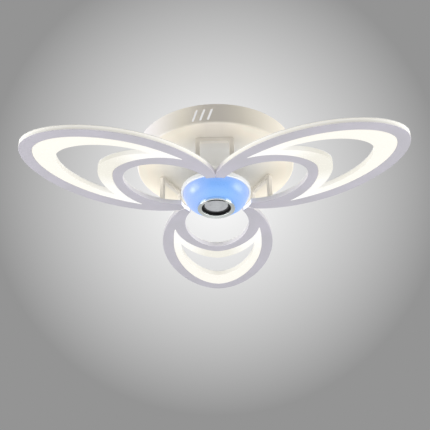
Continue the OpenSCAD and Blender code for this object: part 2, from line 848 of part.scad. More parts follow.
// Quarter ellipse of the dome, from its widest place in to the mouth
function dome_curve(inset, steps) =
    [for (i = [0 : steps])
        [trim_r + (dome_r - inset - trim_r) * cos(90 * i / steps),
            dome_wide_z - (dome_wide_z - mouth_z - inset) * sin(90 * i / steps)]];

// Frosted dome shaped like a ring cushion, open at the top and round the speaker well
module pod_dome() {
    steps = 20;
    mouth_r = well_outer_r + well_gap;
    outer = dome_curve(0, steps);
    inner = dome_curve(dome_wall, steps);
    color("lightskyblue")
    rotate_extrude($fn = 96)
        polygon(concat(
            [[dome_r, base_under_z]], outer,
            [[mouth_r, mouth_z], [mouth_r, mouth_z + dome_wall]],
            [for (i = [steps : -1 : 0]) inner[i]],
            [[dome_r - dome_wall, base_under_z]]));
}

// Polished trim ring: a shallow dish from its rim in to a thin lip that covers the end of the
// well, with a tongue that snaps into the well
module trim_ring() {
    rim_r = trim_rim / 2;
    lip_r = trim_lip / 2;
    rim = [trim_r - rim_r, trim_face_z + rim_r];
    lip = [well_r + lip_r, lip_top_z - lip_r];
    bore_r = well_rim_r + well_rim_gap;
    slope = rim - lip;
    turn = atan2(slope[1], slope[0]) - acos((lip_r - rim_r) / norm(slope));
    side = [cos(turn), sin(turn)];
    color("silver")
    rotate_extrude($fn = 96) {
        translate(rim) circle(r = rim_r, $fn = 24);
        translate(lip) circle(r = lip_r, $fn = 24);
        polygon([lip + lip_r * side, rim + rim_r * side, rim, [trim_r, rim[1]], [trim_r, mouth_z],
            [bore_r, mouth_z], [bore_r, lip_top_z], [lip[0], lip_top_z]]);
        translate([groove_mid_r - tongue_w / 2, mouth_z - cut]) square([tongue_w, tongue_h + cut]);
    }
}

// Black well that holds the speaker and clamps the dome
module speaker_well()
    color("black")
    difference() {
        union() {
            translate([0, 0, mouth_z]) cylinder(r = well_outer_r, h = base_under_z - mouth_z);
            translate([0, 0, well_low_z]) cylinder(r = well_rim_r, h = mouth_z - well_low_z + cut);
        }
        translate([0, 0, well_low_z - cut]) cylinder(r = well_r, h = ledge_z - well_low_z + cut);
        translate([0, 0, mouth_z]) cylinder(r = ledge_r, h = base_under_z - mouth_z + cut);
        translate([0, 0, mouth_z - cut])
            difference() {
                cylinder(r = groove_mid_r + tongue_w / 2 + 0.1, h = tongue_h + 0.2 + cut);
                translate([0, 0, -cut])
                    cylinder(r = groove_mid_r - tongue_w / 2 - 0.1, h = tongue_h + 0.2 + 3 * cut);
            }
        at_pod_screws()
            translate([0, 0, base_under_z - pod_bore_depth])
                cylinder(r = m3_d / 2 + thread_gap, h = pod_bore_depth + cut, $fn = 32);
    }

// Speaker basket: a flange, four spokes and the front plate of the magnet
module speaker_basket() {
    wall = 1.2;
    seat_r = magnet_r - 1;
    rim_r = ledge_r - 0.3;
    color("dimgray")
    difference() {
        rotate_extrude($fn = 96) {
            translate([surround_in_r, ledge_z - flange_t]) square([flange_r - surround_in_r, flange_t]);
            polygon([[rim_r - wall, ledge_z - flange_t / 2], [rim_r, ledge_z - flange_t / 2], [rim_r, ledge_z],
                [seat_r + wall, top_plate_z], [seat_r + wall, top_plate_z + 1], [seat_r, top_plate_z + 1],
                [seat_r, top_plate_z], [rim_r - wall, ledge_z]]);
            translate([gap_r, top_plate_z]) square([seat_r - gap_r + wall, plate_t]);
        }
        for (a = [45 : 90 : 315])
            rotate(a) translate([seat_r - 4, -seat_r / 2, ledge_z + 0.6])
                cube([2 * magnet_r, seat_r, basket_depth - 1.2]);
    }
}

// Rubber surround: a half roll between the flange and the diaphragm
module speaker_surround() {
    low_z = ledge_z - flange_t;
    roll_mid_r = surround_in_r + 0.5 + roll_r;
    color("black")
    rotate_extrude($fn = 96) {
        difference() {
            translate([roll_mid_r, low_z]) circle(r = roll_r, $fn = 32);
            translate([roll_mid_r, low_z]) circle(r = roll_r - surround_t, $fn = 32);
            translate([0, low_z]) square([well_d, well_d]);
        }
        for (r = [surround_in_r, roll_mid_r + roll_r - surround_t])
            translate([r, low_z - surround_t]) square([0.5 + surround_t, surround_t]);
    }
}

// Ring magnet behind the front plate
module speaker_magnet()
    color("darkslategray")
    translate([0, 0, magnet_z])
        difference() {
            cylinder(r = magnet_r, h = magnet_h);
            translate([0, 0, -cut]) cylinder(r = gap_r + 1, h = magnet_h + 2 * cut);
        }

// Back plate with its pole, which the voice coil moves round
module speaker_yoke()
    color("silver") {
        translate([0, 0, magnet_z + magnet_h]) cylinder(r = magnet_r - 1, h = yoke_t);
        translate([0, 0, top_plate_z]) cylinder(r = pole_r, h = plate_t + magnet_h);
    }

// Grey diaphragm: a shallow dish with a domed cap in the middle
module speaker_cone() {
    cap_r = coil_r + 1;
    cap_drop = 0.9;
    dish = 1.4;
    steps = 8;
    cap = [for (i = [0 : steps]) [cap_r * sin(90 * i / steps), cone_z + dish - cone_t - cap_drop * cos(90 * i / steps)]];
    color("lightgray")
    rotate_extrude($fn = 96)
        polygon(concat(cap,
            [[cone_r - 1, cone_z], [cone_r, cone_z], [cone_r, cone_z + cone_t], [cone_r - 1, cone_z + cone_t],
                [cap_r, cone_z + dish], [0, cone_z + dish]]));
}

// Voice coil former on the back of the diaphragm
module voice_coil() {
    low_z = cone_z + 1.4;
    color("peru")
    translate([0, 0, low_z])
        difference() {
            cylinder(r = coil_r, h = coil_top_z - low_z);
            translate([0, 0, -cut]) cylinder(r = coil_r - coil_wall, h = coil_top_z - low_z + 2 * cut);
        }
}

mounting_bar();
canopy_shell();
side_screws();
led_driver_case();
led_driver_lid();
terminal_block();
terminal_screws();
audio_board();
bluetooth_module();
audio_components();
stud_nuts();
bracket(front_bracket_az);  // bracket_front
bracket(right_bracket_az);  // bracket_right
bracket(left_bracket_az);  // bracket_left
bracket_screws();
foot_screws();
face_screws();
petal_frame(rear_az);  // petal_frame_rear
petal_frame(left_az);  // petal_frame_left
petal_frame(right_az);  // petal_frame_right
petal_back(rear_az);  // petal_back_rear
petal_back(left_az);  // petal_back_left
petal_back(right_az);  // petal_back_right
light_board(rear_az);  // light_board_rear
light_board(left_az);  // light_board_left
light_board(right_az);  // light_board_right
petal_diffuser(rear_az);  // petal_diffuser_rear
petal_diffuser(left_az);  // petal_diffuser_left
petal_diffuser(right_az);  // petal_diffuser_right
stem_sleeve();
threaded_nipple();
stem_washer();
stem_nuts();
pod_base();
pod_screws();
rgb_board();
pod_dome();
trim_ring();
speaker_well();
speaker_basket();
speaker_surround();
speaker_magnet();
speaker_yoke();
speaker_cone();
voice_coil();
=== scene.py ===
import math
import bmesh
import bpy
from mathutils import Matrix, Vector


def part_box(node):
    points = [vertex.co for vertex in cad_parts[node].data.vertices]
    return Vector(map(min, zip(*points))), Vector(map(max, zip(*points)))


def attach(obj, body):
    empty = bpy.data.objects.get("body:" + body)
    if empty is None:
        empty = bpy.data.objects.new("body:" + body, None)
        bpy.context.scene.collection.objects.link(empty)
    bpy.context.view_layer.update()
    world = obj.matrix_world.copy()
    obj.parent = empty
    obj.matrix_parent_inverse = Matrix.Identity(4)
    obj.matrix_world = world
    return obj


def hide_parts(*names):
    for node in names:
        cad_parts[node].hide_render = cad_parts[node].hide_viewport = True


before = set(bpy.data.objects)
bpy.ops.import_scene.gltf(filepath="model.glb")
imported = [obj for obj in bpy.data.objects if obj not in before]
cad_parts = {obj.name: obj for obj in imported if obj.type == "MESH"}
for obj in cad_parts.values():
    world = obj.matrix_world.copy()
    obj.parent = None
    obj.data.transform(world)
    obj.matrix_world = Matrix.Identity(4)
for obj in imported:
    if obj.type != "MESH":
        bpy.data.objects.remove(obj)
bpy.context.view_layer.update()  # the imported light, fixed where it hangs
mm = 0.001
near = 0.1  # how close an edge lies to a height, in millimetres, to count as on it
hair = 0.001  # the same where the next edge is close by
mostly = 0.9  # a direction with this share along an axis counts as lying along it
print("frame loaded:", len(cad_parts), "parts")

# Pieces are modelled in millimetres, and dress() brings each one to metres


def corners(node):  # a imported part's lowest and highest corner, in millimetres
    low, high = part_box(node)
    return low / mm, high / mm


def onlySelect(piece):
    if bpy.context.mode != "OBJECT":
        bpy.ops.object.mode_set(mode="OBJECT")
    bpy.ops.object.select_all(action="DESELECT")
    piece.select_set(True)
    bpy.context.view_layer.objects.active = piece


def openPiece(piece, kind="FACE"):  # edit mode, with nothing picked yet
    onlySelect(piece)
    bpy.ops.object.mode_set(mode="EDIT")
    bpy.ops.mesh.select_mode(type=kind)
    bpy.ops.mesh.select_all(action="DESELECT")


def closePiece():
    bpy.ops.object.mode_set(mode="OBJECT")


def pickFaces(piece, test):  # test takes a face's middle and its normal
    mesh = bmesh.from_edit_mesh(piece.data)
    for face in mesh.faces:
        face.select_set(test(face.calc_center_median(), face.normal))
    mesh.select_flush_mode()
    bmesh.update_edit_mesh(piece.data)


def pickEdges(piece, test):  # test takes an edge's middle and its direction
    mesh = bmesh.from_edit_mesh(piece.data)
    for edge in mesh.edges:
        start, end = (vertex.co for vertex in edge.verts)
        edge.select_set(test((start + end) / 2, (end - start).normalized()))
    mesh.select_flush_mode()
    bmesh.update_edit_mesh(piece.data)


def settle(name):  # the primitive just added keeps its place in its mesh
    piece = bpy.context.object
    piece.name = piece.data.name = name
    bpy.ops.object.transform_apply(location=True, rotation=True, scale=True)
    return piece


def addBox(name, low, high):
    bpy.ops.object.select_all(action="DESELECT")
    low, high = Vector(low), Vector(high)
    bpy.ops.mesh.primitive_cube_add(size=1, location=(low + high) / 2, scale=high - low)
    return settle(name)


def addRod(name, radius, low, high, sides=48, place=(0, 0)):  # an upright cylinder
    bpy.ops.object.select_all(action="DESELECT")
    middle = (place[0], place[1], (low + high) / 2)
    bpy.ops.mesh.primitive_cylinder_add(vertices=sides, radius=radius, depth=high - low, location=middle)
    return settle(name)


def drawnApart(rod, way):  # the rod's two halves move apart, which gives a slot with round ends
    openPiece(rod, "VERT")
    mesh = bmesh.from_edit_mesh(rod.data)
    for vertex in mesh.verts:
        vertex.select_set(vertex.co.dot(way) > 0)
    bmesh.update_edit_mesh(rod.data)
    bpy.ops.transform.translate(value=way)
    bpy.ops.mesh.select_all(action="SELECT")
    bpy.ops.transform.translate(value=-way / 2)
    closePiece()
    return rod


def slotTool(width, length, depth):  # an upright slot, lying along x
    return drawnApart(addRod("slotTool", width / 2, -depth / 2, depth / 2, sides=24),
                      Vector((length - width, 0, 0)))


def modify(piece, kind, **settings):
    onlySelect(piece)
    modifier = piece.modifiers.new(kind.lower(), kind)
    for key, value in settings.items():
        setattr(modifier, key, value)
    bpy.ops.object.modifier_apply(modifier=modifier.name)


def cutWith(piece, tool):
    modify(piece, "BOOLEAN", object=tool, operation="DIFFERENCE", solver="EXACT")
    bpy.data.objects.remove(tool)


def joined(name, pieces):
    onlySelect(pieces[0])
    for piece in pieces:
        piece.select_set(True)
    bpy.ops.object.join()
    pieces[0].name = pieces[0].data.name = name
    return pieces[0]


def twin(piece, name, matrix):  # a copy with its own mesh, moved to its place
    copied = piece.copy()
    copied.data = piece.data.copy()
    copied.name = copied.data.name = name
    bpy.context.collection.objects.link(copied)
    copied.matrix_world = matrix
    onlySelect(copied)
    bpy.ops.object.transform_apply(location=True, rotation=True, scale=True)
    return copied


def copiesOf(master, name, places):  # the master itself is taken away
    copies = [twin(master, name, place) for place in places]
    bpy.data.objects.remove(master)
    return copies


def turn(degrees, axis="Z"):
    return Matrix.Rotation(math.radians(degrees), 4, axis)


def shift(x, y, z):
    return Matrix.Translation((x, y, z))


def bevelEdges(piece, radius, test, segments=6):
    openPiece(piece, "EDGE")
    pickEdges(piece, test)
    bpy.ops.mesh.bevel(offset=radius, segments=segments, affect="EDGES")
    closePiece()


# Tests that pick the edges for bevelEdges: all upright ones, those at a top, those at a top along y

def upright(place, line):
    return abs(line.z) > mostly


def atTop(height):
    return lambda place, line: place.z > height - near


def bendAt(height):
    return lambda place, line: abs(line.y) > mostly and place.z > height - near


def hollow(piece, rim, depth, side=1):  # its top, or its underside where side is -1, sinks inside a rim
    openPiece(piece)
    pickFaces(piece, lambda place, normal: side * normal.z > mostly)
    bpy.ops.mesh.inset(thickness=rim)
    bpy.ops.mesh.extrude_region_move(TRANSFORM_OT_translate={"value": (0, 0, -side * depth)})
    closePiece()


def roundEdges(piece, radius, segments=3, angle=40):
    modify(piece, "BEVEL", width=radius, segments=segments, limit_method="ANGLE", loop_slide=False,
           angle_limit=math.radians(angle), use_clamp_overlap=False, face_strength_mode="FSTR_ALL")


def outward(piece):  # doubles merged, faces turned outwards
    openPiece(piece, "VERT")
    bpy.ops.mesh.select_all(action="SELECT")
    bpy.ops.mesh.remove_doubles(threshold=5 * hair)
    bpy.ops.mesh.normals_make_consistent(inside=False)
    closePiece()


def turned(name, profile, steps=144):  # an outline of (radius, height) points, spun round the stem
    bpy.ops.object.select_all(action="DESELECT")
    bpy.ops.mesh.primitive_plane_add(size=1, location=(profile[0][0], 0, profile[0][1]))
    piece = settle(name)
    openPiece(piece, "VERT")
    bpy.ops.mesh.select_all(action="SELECT")
    bpy.ops.mesh.merge(type="CENTER")
    for (fromR, fromZ), (toR, toZ) in zip(profile, profile[1:]):
        bpy.ops.mesh.extrude_region_move(TRANSFORM_OT_translate={"value": (toR - fromR, 0, toZ - fromZ)})
    bpy.ops.mesh.select_all(action="SELECT")
    bpy.ops.mesh.spin(steps=steps, angle=math.tau, center=(0, 0, 0), axis=(0, 0, 1))
    outward(piece)
    return piece


def arc(middle, radii, start, end, steps):  # points of an ellipse between two angles
    turns = [math.radians(start + (end - start) * i / steps) for i in range(steps + 1)]
    return [(middle[0] + radii[0] * math.cos(a), middle[1] + radii[1] * math.sin(a)) for a in turns]


def dress(piece, name, finishes, body="light", stands=(), smooth=35):
    onlySelect(piece)
    bpy.ops.object.shade_smooth_by_angle(angle=math.radians(smooth))
    modify(piece, "WEIGHTED_NORMAL", keep_sharp=True, use_face_influence=True)
    piece.scale = (mm, mm, mm)
    bpy.ops.object.transform_apply(location=True, rotation=True, scale=True)
    piece.name = piece.data.name = name
    piece.data.materials.clear()
    for finish in finishes:
        piece.data.materials.append(finish)
    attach(piece, body)
    if stands:
        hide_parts(*stands)
    return piece


def paintFaces(piece, finish, test):  # the faces that take one of the piece's further materials
    for face in piece.data.polygons:
        if test(face.center / mm, face.normal):
            face.material_index = finish


# Materials


def rgba(hexColor):  # an sRGB hex value as linear light
    parts = [int(hexColor[i:i + 2], 16) / 255 for i in (1, 3, 5)]
    return [c / 12.92 if c <= 0.04045 else ((c + 0.055) / 1.055) ** 2.4 for c in parts] + [1]


def emptyTree(owner):
    owner.use_nodes = True
    owner.node_tree.nodes.clear()
    return owner.node_tree


def plug(tree, value, socket):  # a node stands for its first live output
    if isinstance(value, bpy.types.Node):
        value = next(output for output in value.outputs if output.enabled)
    if isinstance(value, bpy.types.NodeSocket):
        tree.links.new(value, socket)
    else:
        socket.default_value = value


def addNode(tree, kind, *inputs, named=None, **settings):  # inputs go to its live sockets in their order
    node = tree.nodes.new("ShaderNode" + kind)
    for key, value in settings.items():
        setattr(node, key, value)
    for socket, value in zip([socket for socket in node.inputs if socket.enabled], inputs):
        plug(tree, value, socket)
    for key, value in (named or {}).items():
        plug(tree, value, node.inputs[key])
    return node


def metres(span):  # a span that is given in millimetres
    return [length * mm for length in span]


def fromStem(tree):  # a point's reach from the stem, its turn from the nearest petal's axis, and x, y and z
    place = tree.nodes["place"].outputs["Object"]
    flat = addNode(tree, "VectorMath", place, (1, 1, 0), operation="MULTIPLY")
    reach = addNode(tree, "VectorMath", flat, operation="LENGTH")
    x, y, z = addNode(tree, "SeparateXYZ", place).outputs
    angle = addNode(tree, "Math", x, y, operation="ARCTAN2")
    return reach, addNode(tree, "Math", angle, math.radians(60), operation="PINGPONG"), x, y, z


noise = {"cloudDetail": 3.0, "cloudSpan": (0.35, 0.65), "grainDetail": 2.0, "grainSpan": (0.3, 0.7)}


def surface(name, look, sockets=None):
    # two close colours drift into each other in soft clouds, and a fine grain gives relief and gloss
    made = bpy.data.materials.new(name)
    tree = emptyTree(made)
    place = addNode(tree, "TexCoord", name="place").outputs["Object"]
    cloud = addNode(tree, "TexNoise", place, 1 / (look["cloud"] * mm), noise["cloudDetail"])
    grain = addNode(tree, "TexNoise", place, 1 / (look["grain"] * mm), noise["grainDetail"])
    share = addNode(tree, "MapRange", cloud, *noise["cloudSpan"], 0.0, 1.0)
    color = addNode(tree, "Mix", share, rgba(look["color"]), rgba(look["shade"]), data_type="RGBA")
    gloss = addNode(tree, "MapRange", grain, *noise["grainSpan"], *look["roughness"])
    bump = addNode(tree, "Bump", 1.0, look["relief"] * mm, named={"Height": grain})
    named = {"Base Color": color, "Roughness": gloss, "Normal": bump, **(sockets or {})}
    shader = addNode(tree, "BsdfPrincipled", named=named, name="shader")
    addNode(tree, "OutputMaterial", shader)
    return made


# Powder coat on pressed steel: satin cream with a faint orange peel. Painted shade makes it greyer round
# the stem and in the middle of the drum's wall and floor. A painted light makes the wall paler on the left,
# and a painted glow on the floor, strongest on its outer part, and on the wall's sides stands for the petals'
# light.
creamLook = {"color": "#efe8d9", "shade": "#eae3d2", "cloud": 60, "grain": 1.6, "relief": 0.02,
             "roughness": (0.42, 0.52), "near": "#e4e3e0", "stemShadeR": (55, 102), "middle": "#dfd8cd",
             "middleShadeX": (12, 48), "floorX": (12, 45), "floorEdge": 0.8, "pale": "#ebe8ea",
             "paleX": (-104, -48), "glow": "#fff6ea", "floorGlow": 0.18, "glowR": (84, 116),
             "middleGlow": 0.2, "stemGlow": 0.05, "stemR": (34, 64), "sideGlow": 0.15, "sideX": (28, 95),
             "leftward": 14, "frontGlow": 0.25, "frontY": (-5, 45)}


def litCream(look):
    made = surface("creamPowderCoat", look, {"Emission Color": rgba(look["glow"])})
    tree = made.node_tree
    shader = tree.nodes["shader"].inputs
    reach, _, x, y, z = fromStem(tree)
    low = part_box("canopy_shell")[0].z
    under = addNode(tree, "MapRange", z, low, low + look["floorEdge"] * mm, 1.0, 0.0)
    above = addNode(tree, "Math", 1.0, under, operation="SUBTRACT")
    sideways = addNode(tree, "Math", x, operation="ABSOLUTE")
    # painted shade: greyer in the middle of the drum's wall and floor
    wallMiddleShade = addNode(tree, "MapRange", sideways, *metres(look["middleShadeX"]), above, 0.0)
    floorMiddleShade = addNode(tree, "MapRange", sideways, *metres(look["floorX"]), under, 0.0)
    middle = addNode(tree, "Math", wallMiddleShade, floorMiddleShade, operation="ADD")
    cream = shader["Base Color"].links[0].from_socket
    cream = addNode(tree, "Mix", middle, cream, rgba(look["middle"]), data_type="RGBA")
    # painted light: the wall is paler on its left
    left = addNode(tree, "MapRange", x, *metres(look["paleX"]), above, 0.0)
    cream = addNode(tree, "Mix", left, cream, rgba(look["pale"]), data_type="RGBA")
    # painted shade: greyer near the stem
    far = addNode(tree, "MapRange", reach, *metres(look["stemShadeR"]), 0.0, 1.0)
    cream = addNode(tree, "Mix", far, rgba(look["near"]), cream, data_type="RGBA")
    plug(tree, cream, shader["Base Color"])
    # painted glow on the floor, strongest on its outer part, and on the wall's sides
    floorGlow = look["floorGlow"]
    outerGlow = addNode(tree, "MapRange", sideways, *metres(look["floorX"]),
                        look["middleGlow"] * floorGlow, floorGlow)
    outer = addNode(tree, "MapRange", reach, *metres(look["glowR"]), 0.0, outerGlow)
    stemShare = addNode(tree, "MapRange", reach, *metres(look["stemR"]), look["stemGlow"], 0.0)
    floorShare = addNode(tree, "Math", outer, stemShare, operation="ADD")
    floorShare = addNode(tree, "Math", under, floorShare, operation="MULTIPLY")
    offset = addNode(tree, "Math", x, look["leftward"] * mm, operation="SUBTRACT")
    offset = addNode(tree, "Math", offset, operation="ABSOLUTE")
    sideGlow = look["sideGlow"]
    wallGlow = addNode(tree, "MapRange", y, *metres(look["frontY"]), sideGlow, look["frontGlow"] * sideGlow)
    wallGlow = addNode(tree, "Math", above, wallGlow, operation="MULTIPLY")
    wallShare = addNode(tree, "MapRange", offset, *metres(look["sideX"]), 0.0, wallGlow)
    glow = addNode(tree, "Math", floorShare, wallShare, operation="ADD")
    plug(tree, glow, shader["Emission Strength"])
    return made


creamPowderCoat = litCream(creamLook)

# The same coat on the bent bars, a little greyer
barLook = {"color": "#efeae1", "shade": "#e7e2d9", "cloud": 30, "grain": 1.6, "relief": 0.02,
           "roughness": (0.4, 0.5)}
barPowderCoat = surface("barPowderCoat", barLook)

# The stem's tube has it in pale grey, with a painted glow that stands for the dome's light on it
stemLook = {"color": "#dfdedb", "shade": "#d8d7d4", "cloud": 20, "grain": 1.4, "relief": 0.015,
            "roughness": (0.35, 0.45), "strength": 0.2}
stemCoatPaintedGlow = surface("stemCoatPaintedGlow", stemLook, {"Emission Color": rgba(stemLook["color"]),
                                                      "Emission Strength": stemLook["strength"]})

# Moulded polycarbonate face of the petals: an even satin lilac-grey without a sharp highlight
faceLook = {"color": "#b2afb8", "shade": "#adabb2", "cloud": 40, "grain": 1.2, "relief": 0.01,
            "roughness": (0.36, 0.46)}
lilacPolycarbonate = surface("lilacPolycarbonate", faceLook)

# Outer walls of the petals: the same moulding in pearl white. A painted glow lies on the walls that face
# the front, brighter towards their top, and a stronger one on the walls round the pod. Walls towards the rear
# are greyer, a painted shade, and where the two front petals meet they are lilac: painted shade with a weaker
# painted glow.
wallLook = {"color": "#f1f0ea", "shade": "#eceae2", "cloud": 40, "grain": 1.2, "relief": 0.01,
            "roughness": (0.36, 0.46), "glow": "#fff9ee", "glowStrength": 0.36, "frontLitY": (15, 50),
            "podGlow": 0.7, "podR": (60, 66), "podY": (-12, 8), "meet": "#c6c3cb", "meetTurn": (48, 53),
            "meetR": (80, 104), "meetY": (-20, 0), "meetGlow": 0.2, "rear": "#c9c7cc"}


def pearlWall(look):
    made = surface("pearlPolycarbonate", look)
    tree = made.node_tree
    shader = tree.nodes["shader"].inputs
    reach, angle, _, y, z = fromStem(tree)
    low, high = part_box("petal_frame_rear")
    # painted glow on the walls that face the front, brighter towards their top
    topGlow = addNode(tree, "MapRange", z, low.z, high.z, 0.0, look["glowStrength"])
    wallGlow = addNode(tree, "MapRange", y, *metres(look["frontLitY"]), topGlow, 0.0)
    # painted glow on the walls round the pod
    podGlow = addNode(tree, "MapRange", reach, *metres(look["podR"]), look["podGlow"], 0.0)
    podGlow = addNode(tree, "MapRange", y, *metres(look["podY"]), 0.0, podGlow)
    glow = addNode(tree, "Math", wallGlow, podGlow, operation="MAXIMUM")
    # painted shade, with a weaker painted glow, where the two front petals meet
    meet = addNode(tree, "MapRange", angle, *map(math.radians, look["meetTurn"]), 0.0, 1.0)
    meet = addNode(tree, "MapRange", reach, *metres(look["meetR"]), meet, 0.0)
    meet = addNode(tree, "MapRange", y, *metres(look["meetY"]), meet, 0.0)
    glow = addNode(tree, "MapRange", meet, 0.0, 1.0, glow, look["meetGlow"])
    # painted shade: walls towards the rear are greyer
    front = addNode(tree, "MapRange", y, *metres(look["frontLitY"]), 1.0, 0.0)
    pearl = shader["Base Color"].links[0].from_socket
    pearl = addNode(tree, "Mix", front, rgba(look["rear"]), pearl, data_type="RGBA")
    pearl = addNode(tree, "Mix", meet, pearl, rgba(look["meet"]), data_type="RGBA")
    light = addNode(tree, "Mix", meet, rgba(look["glow"]), rgba(look["meet"]), data_type="RGBA")
    plug(tree, pearl, shader["Base Color"])
    plug(tree, light, shader["Emission Color"])
    plug(tree, glow, shader["Emission Strength"])
    return made


pearlPolycarbonate = pearlWall(wallLook)

# Walls of the clear hole: lilac-grey, a painted shade beside the pearl outer walls, with a weak painted glow
# that stands for the dome's light
holeLook = {"color": "#cfcdd1", "shade": "#c9c7cc", "cloud": 40, "grain": 1.2, "relief": 0.01,
            "roughness": (0.36, 0.46), "strength": 0.18}
lilacPaintedGlow = surface("lilacPaintedGlow", holeLook, {"Emission Color": rgba(holeLook["color"]),
                                                  "Emission Strength": holeLook["strength"]})

# White powder coat on the steel back plates: a flat cool white, seen from above
whiteLook = {"color": "#efefec", "shade": "#e8e8e5", "cloud": 50, "grain": 1.5, "relief": 0.015,
             "roughness": (0.4, 0.5)}
whitePowderCoat = surface("whitePowderCoat", whiteLook)

# Opal acrylic lit from behind: white beside the pod, a little warmer towards the tips, and dimmer
# between the inner ring and the window, where the board ends
opalLook = {"color": "#a9a8a4", "shade": "#a7a6a2", "cloud": 50, "grain": 2.5, "relief": 0.001,
            "roughness": (0.24, 0.28), "inner": "#ffffff", "outer": "#faf6ea", "outerR": (140, 200),
            "dim": "#e2dece", "dimTurn": (6, 15), "dimR": (200, 216), "strength": 0.55, "ior": 1.49}


def litOpal(look):
    made = surface("opalAcrylic", look, {"Emission Strength": look["strength"], "IOR": look["ior"]})
    tree = made.node_tree
    reach, angle, *_ = fromStem(tree)
    far = addNode(tree, "MapRange", reach, *metres(look["outerR"]), 0.0, 1.0)
    glow = addNode(tree, "Mix", far, rgba(look["inner"]), rgba(look["outer"]), data_type="RGBA")
    dim = addNode(tree, "MapRange", angle, *map(math.radians, look["dimTurn"]), 1.0, 0.0)
    dim = addNode(tree, "MapRange", reach, *metres(look["dimR"]), dim, 0.0)
    glow = addNode(tree, "Mix", dim, glow, rgba(look["dim"]), data_type="RGBA")
    plug(tree, glow, tree.nodes["shader"].inputs["Emission Color"])
    return made


opalAcrylic = litOpal(opalLook)

# Frosted acrylic dome, lit pale blue by four colour chips that show as soft spots. Its left and right sides
# and its shoulder are paler lavender: a painted sheen.
domeLook = {"color": "#597cb3", "shade": "#5578ae", "cloud": 40, "grain": 1.5, "relief": 0.006,
            "roughness": (0.25, 0.35), "glow": "#85bcff", "rim": "#d4d8f8", "spot": "#f4ffff",
            "spotR": 48.6, "spotTurn": 3.5, "spotRise": 4.5, "spotSize": 6.4, "dimSpot": 0.18,
            "dimX": (-10, 10), "sideSheenX": (12, 58), "leftward": 6, "shoulderSheen": 0.52, "shoulderSheenZ": (-90, -79),
            "strength": 0.5, "ior": 1.49}


def litDome(look):
    made = surface("frostedAcrylic", look, {"Emission Strength": look["strength"], "IOR": look["ior"]})
    tree = made.node_tree
    place = tree.nodes["place"].outputs["Object"]
    x, _, z = addNode(tree, "SeparateXYZ", place).outputs
    spotX = look["spotR"] * mm * math.sqrt(0.5)
    spotZ = look["spotRise"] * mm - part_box("petal_frame_rear")[0].z
    turnedBy = {"Vector": place, "Angle": math.radians(look["spotTurn"])}
    quarter = addNode(tree, "VectorRotate", named=turnedBy, rotation_type="Z_AXIS")
    quarter = addNode(tree, "VectorMath", quarter, operation="ABSOLUTE")
    chip = addNode(tree, "VectorMath", quarter, (spotX, spotX, spotZ), operation="DISTANCE")
    chipLight = addNode(tree, "MapRange", x, *metres(look["dimX"]), 1.0, look["dimSpot"])
    spot = addNode(tree, "MapRange", chip, look["spotSize"] * mm, 0.0, 0.0, chipLight)
    # painted sheen: paler lavender towards the left and right sides and on the shoulder
    offset = addNode(tree, "Math", x, look["leftward"] * mm, operation="SUBTRACT")
    offset = addNode(tree, "Math", offset, operation="ABSOLUTE")
    side = addNode(tree, "MapRange", offset, *metres(look["sideSheenX"]), 0.0, 1.0)
    shoulderSheen = addNode(tree, "MapRange", z, *metres(look["shoulderSheenZ"]), 0.0, look["shoulderSheen"])
    rim = addNode(tree, "Math", side, shoulderSheen, operation="MAXIMUM")
    glow = addNode(tree, "Mix", rim, rgba(look["glow"]), rgba(look["rim"]), data_type="RGBA")
    glow = addNode(tree, "Mix", spot, glow, rgba(look["spot"]), data_type="RGBA")
    plug(tree, glow, tree.nodes["shader"].inputs["Emission Color"])
    return made


frostedAcrylic = litDome(domeLook)

# Moulded ABS in glossy white: a clean, soft-edged highlight
podLook = {"color": "#e4e7e8", "shade": "#dfe2e3", "cloud": 30, "grain": 2.0, "relief": 0.004,
           "roughness": (0.22, 0.28), "ior": 1.53}
whiteAbs = surface("whiteAbs", podLook, {"IOR": podLook["ior"]})

# Chrome plate: a mirror with a trace of haze
chromeLook = {"color": "#e8edea", "shade": "#e2e7e4", "cloud": 20, "grain": 2.0, "relief": 0.001,
              "roughness": (0.07, 0.14)}
chromePlate = surface("chromePlate", chromeLook, {"Metallic": 1.0})

# Black ABS with a fine spark-eroded grain, which keeps the well dark and free of highlights
blackLook = {"color": "#0b0b0b", "shade": "#0e0e0e", "cloud": 12, "grain": 0.8, "relief": 0.015,
             "roughness": (0.45, 0.6), "ior": 1.53}
blackAbs = surface("blackAbs", blackLook, {"IOR": blackLook["ior"]})

# Coated paper pulp of the diaphragm: matt grey, slightly fibrous
pulpLook = {"color": "#aeb1b3", "shade": "#a7a9ac", "cloud": 6, "grain": 0.9, "relief": 0.03,
            "roughness": (0.55, 0.7)}
coatedPulp = surface("coatedPulp", pulpLook)

# Moulded butyl rubber of the surround: dull black with a wide, weak sheen
rubberLook = {"color": "#1b1b1c", "shade": "#202021", "cloud": 8, "grain": 0.7, "relief": 0.01,
              "roughness": (0.5, 0.65)}
butylRubber = surface("butylRubber", rubberLook)

# Black electrocoat on the stamped basket: thin and even, so the steel's gloss comes through
basketLook = {"color": "#232425", "shade": "#1d1e1f", "cloud": 15, "grain": 1.0, "relief": 0.01,
              "roughness": (0.35, 0.5)}
blackElectrocoat = surface("blackElectrocoat", basketLook)

# Sintered ferrite of the magnet: dark grey and dry like stoneware
ferriteLook = {"color": "#2b2b2d", "shade": "#333335", "cloud": 5, "grain": 0.6, "relief": 0.02,
               "roughness": (0.6, 0.75)}
sinteredFerrite = surface("sinteredFerrite", ferriteLook)

# Zinc plate on steel: pale bluish metal in faint crystal patches
zincLook = {"color": "#c1c4c7", "shade": "#b8bcc0", "cloud": 5, "grain": 1.2, "relief": 0.006,
            "roughness": (0.28, 0.42)}
zincPlate = surface("zincPlate", zincLook, {"Metallic": 1.0})

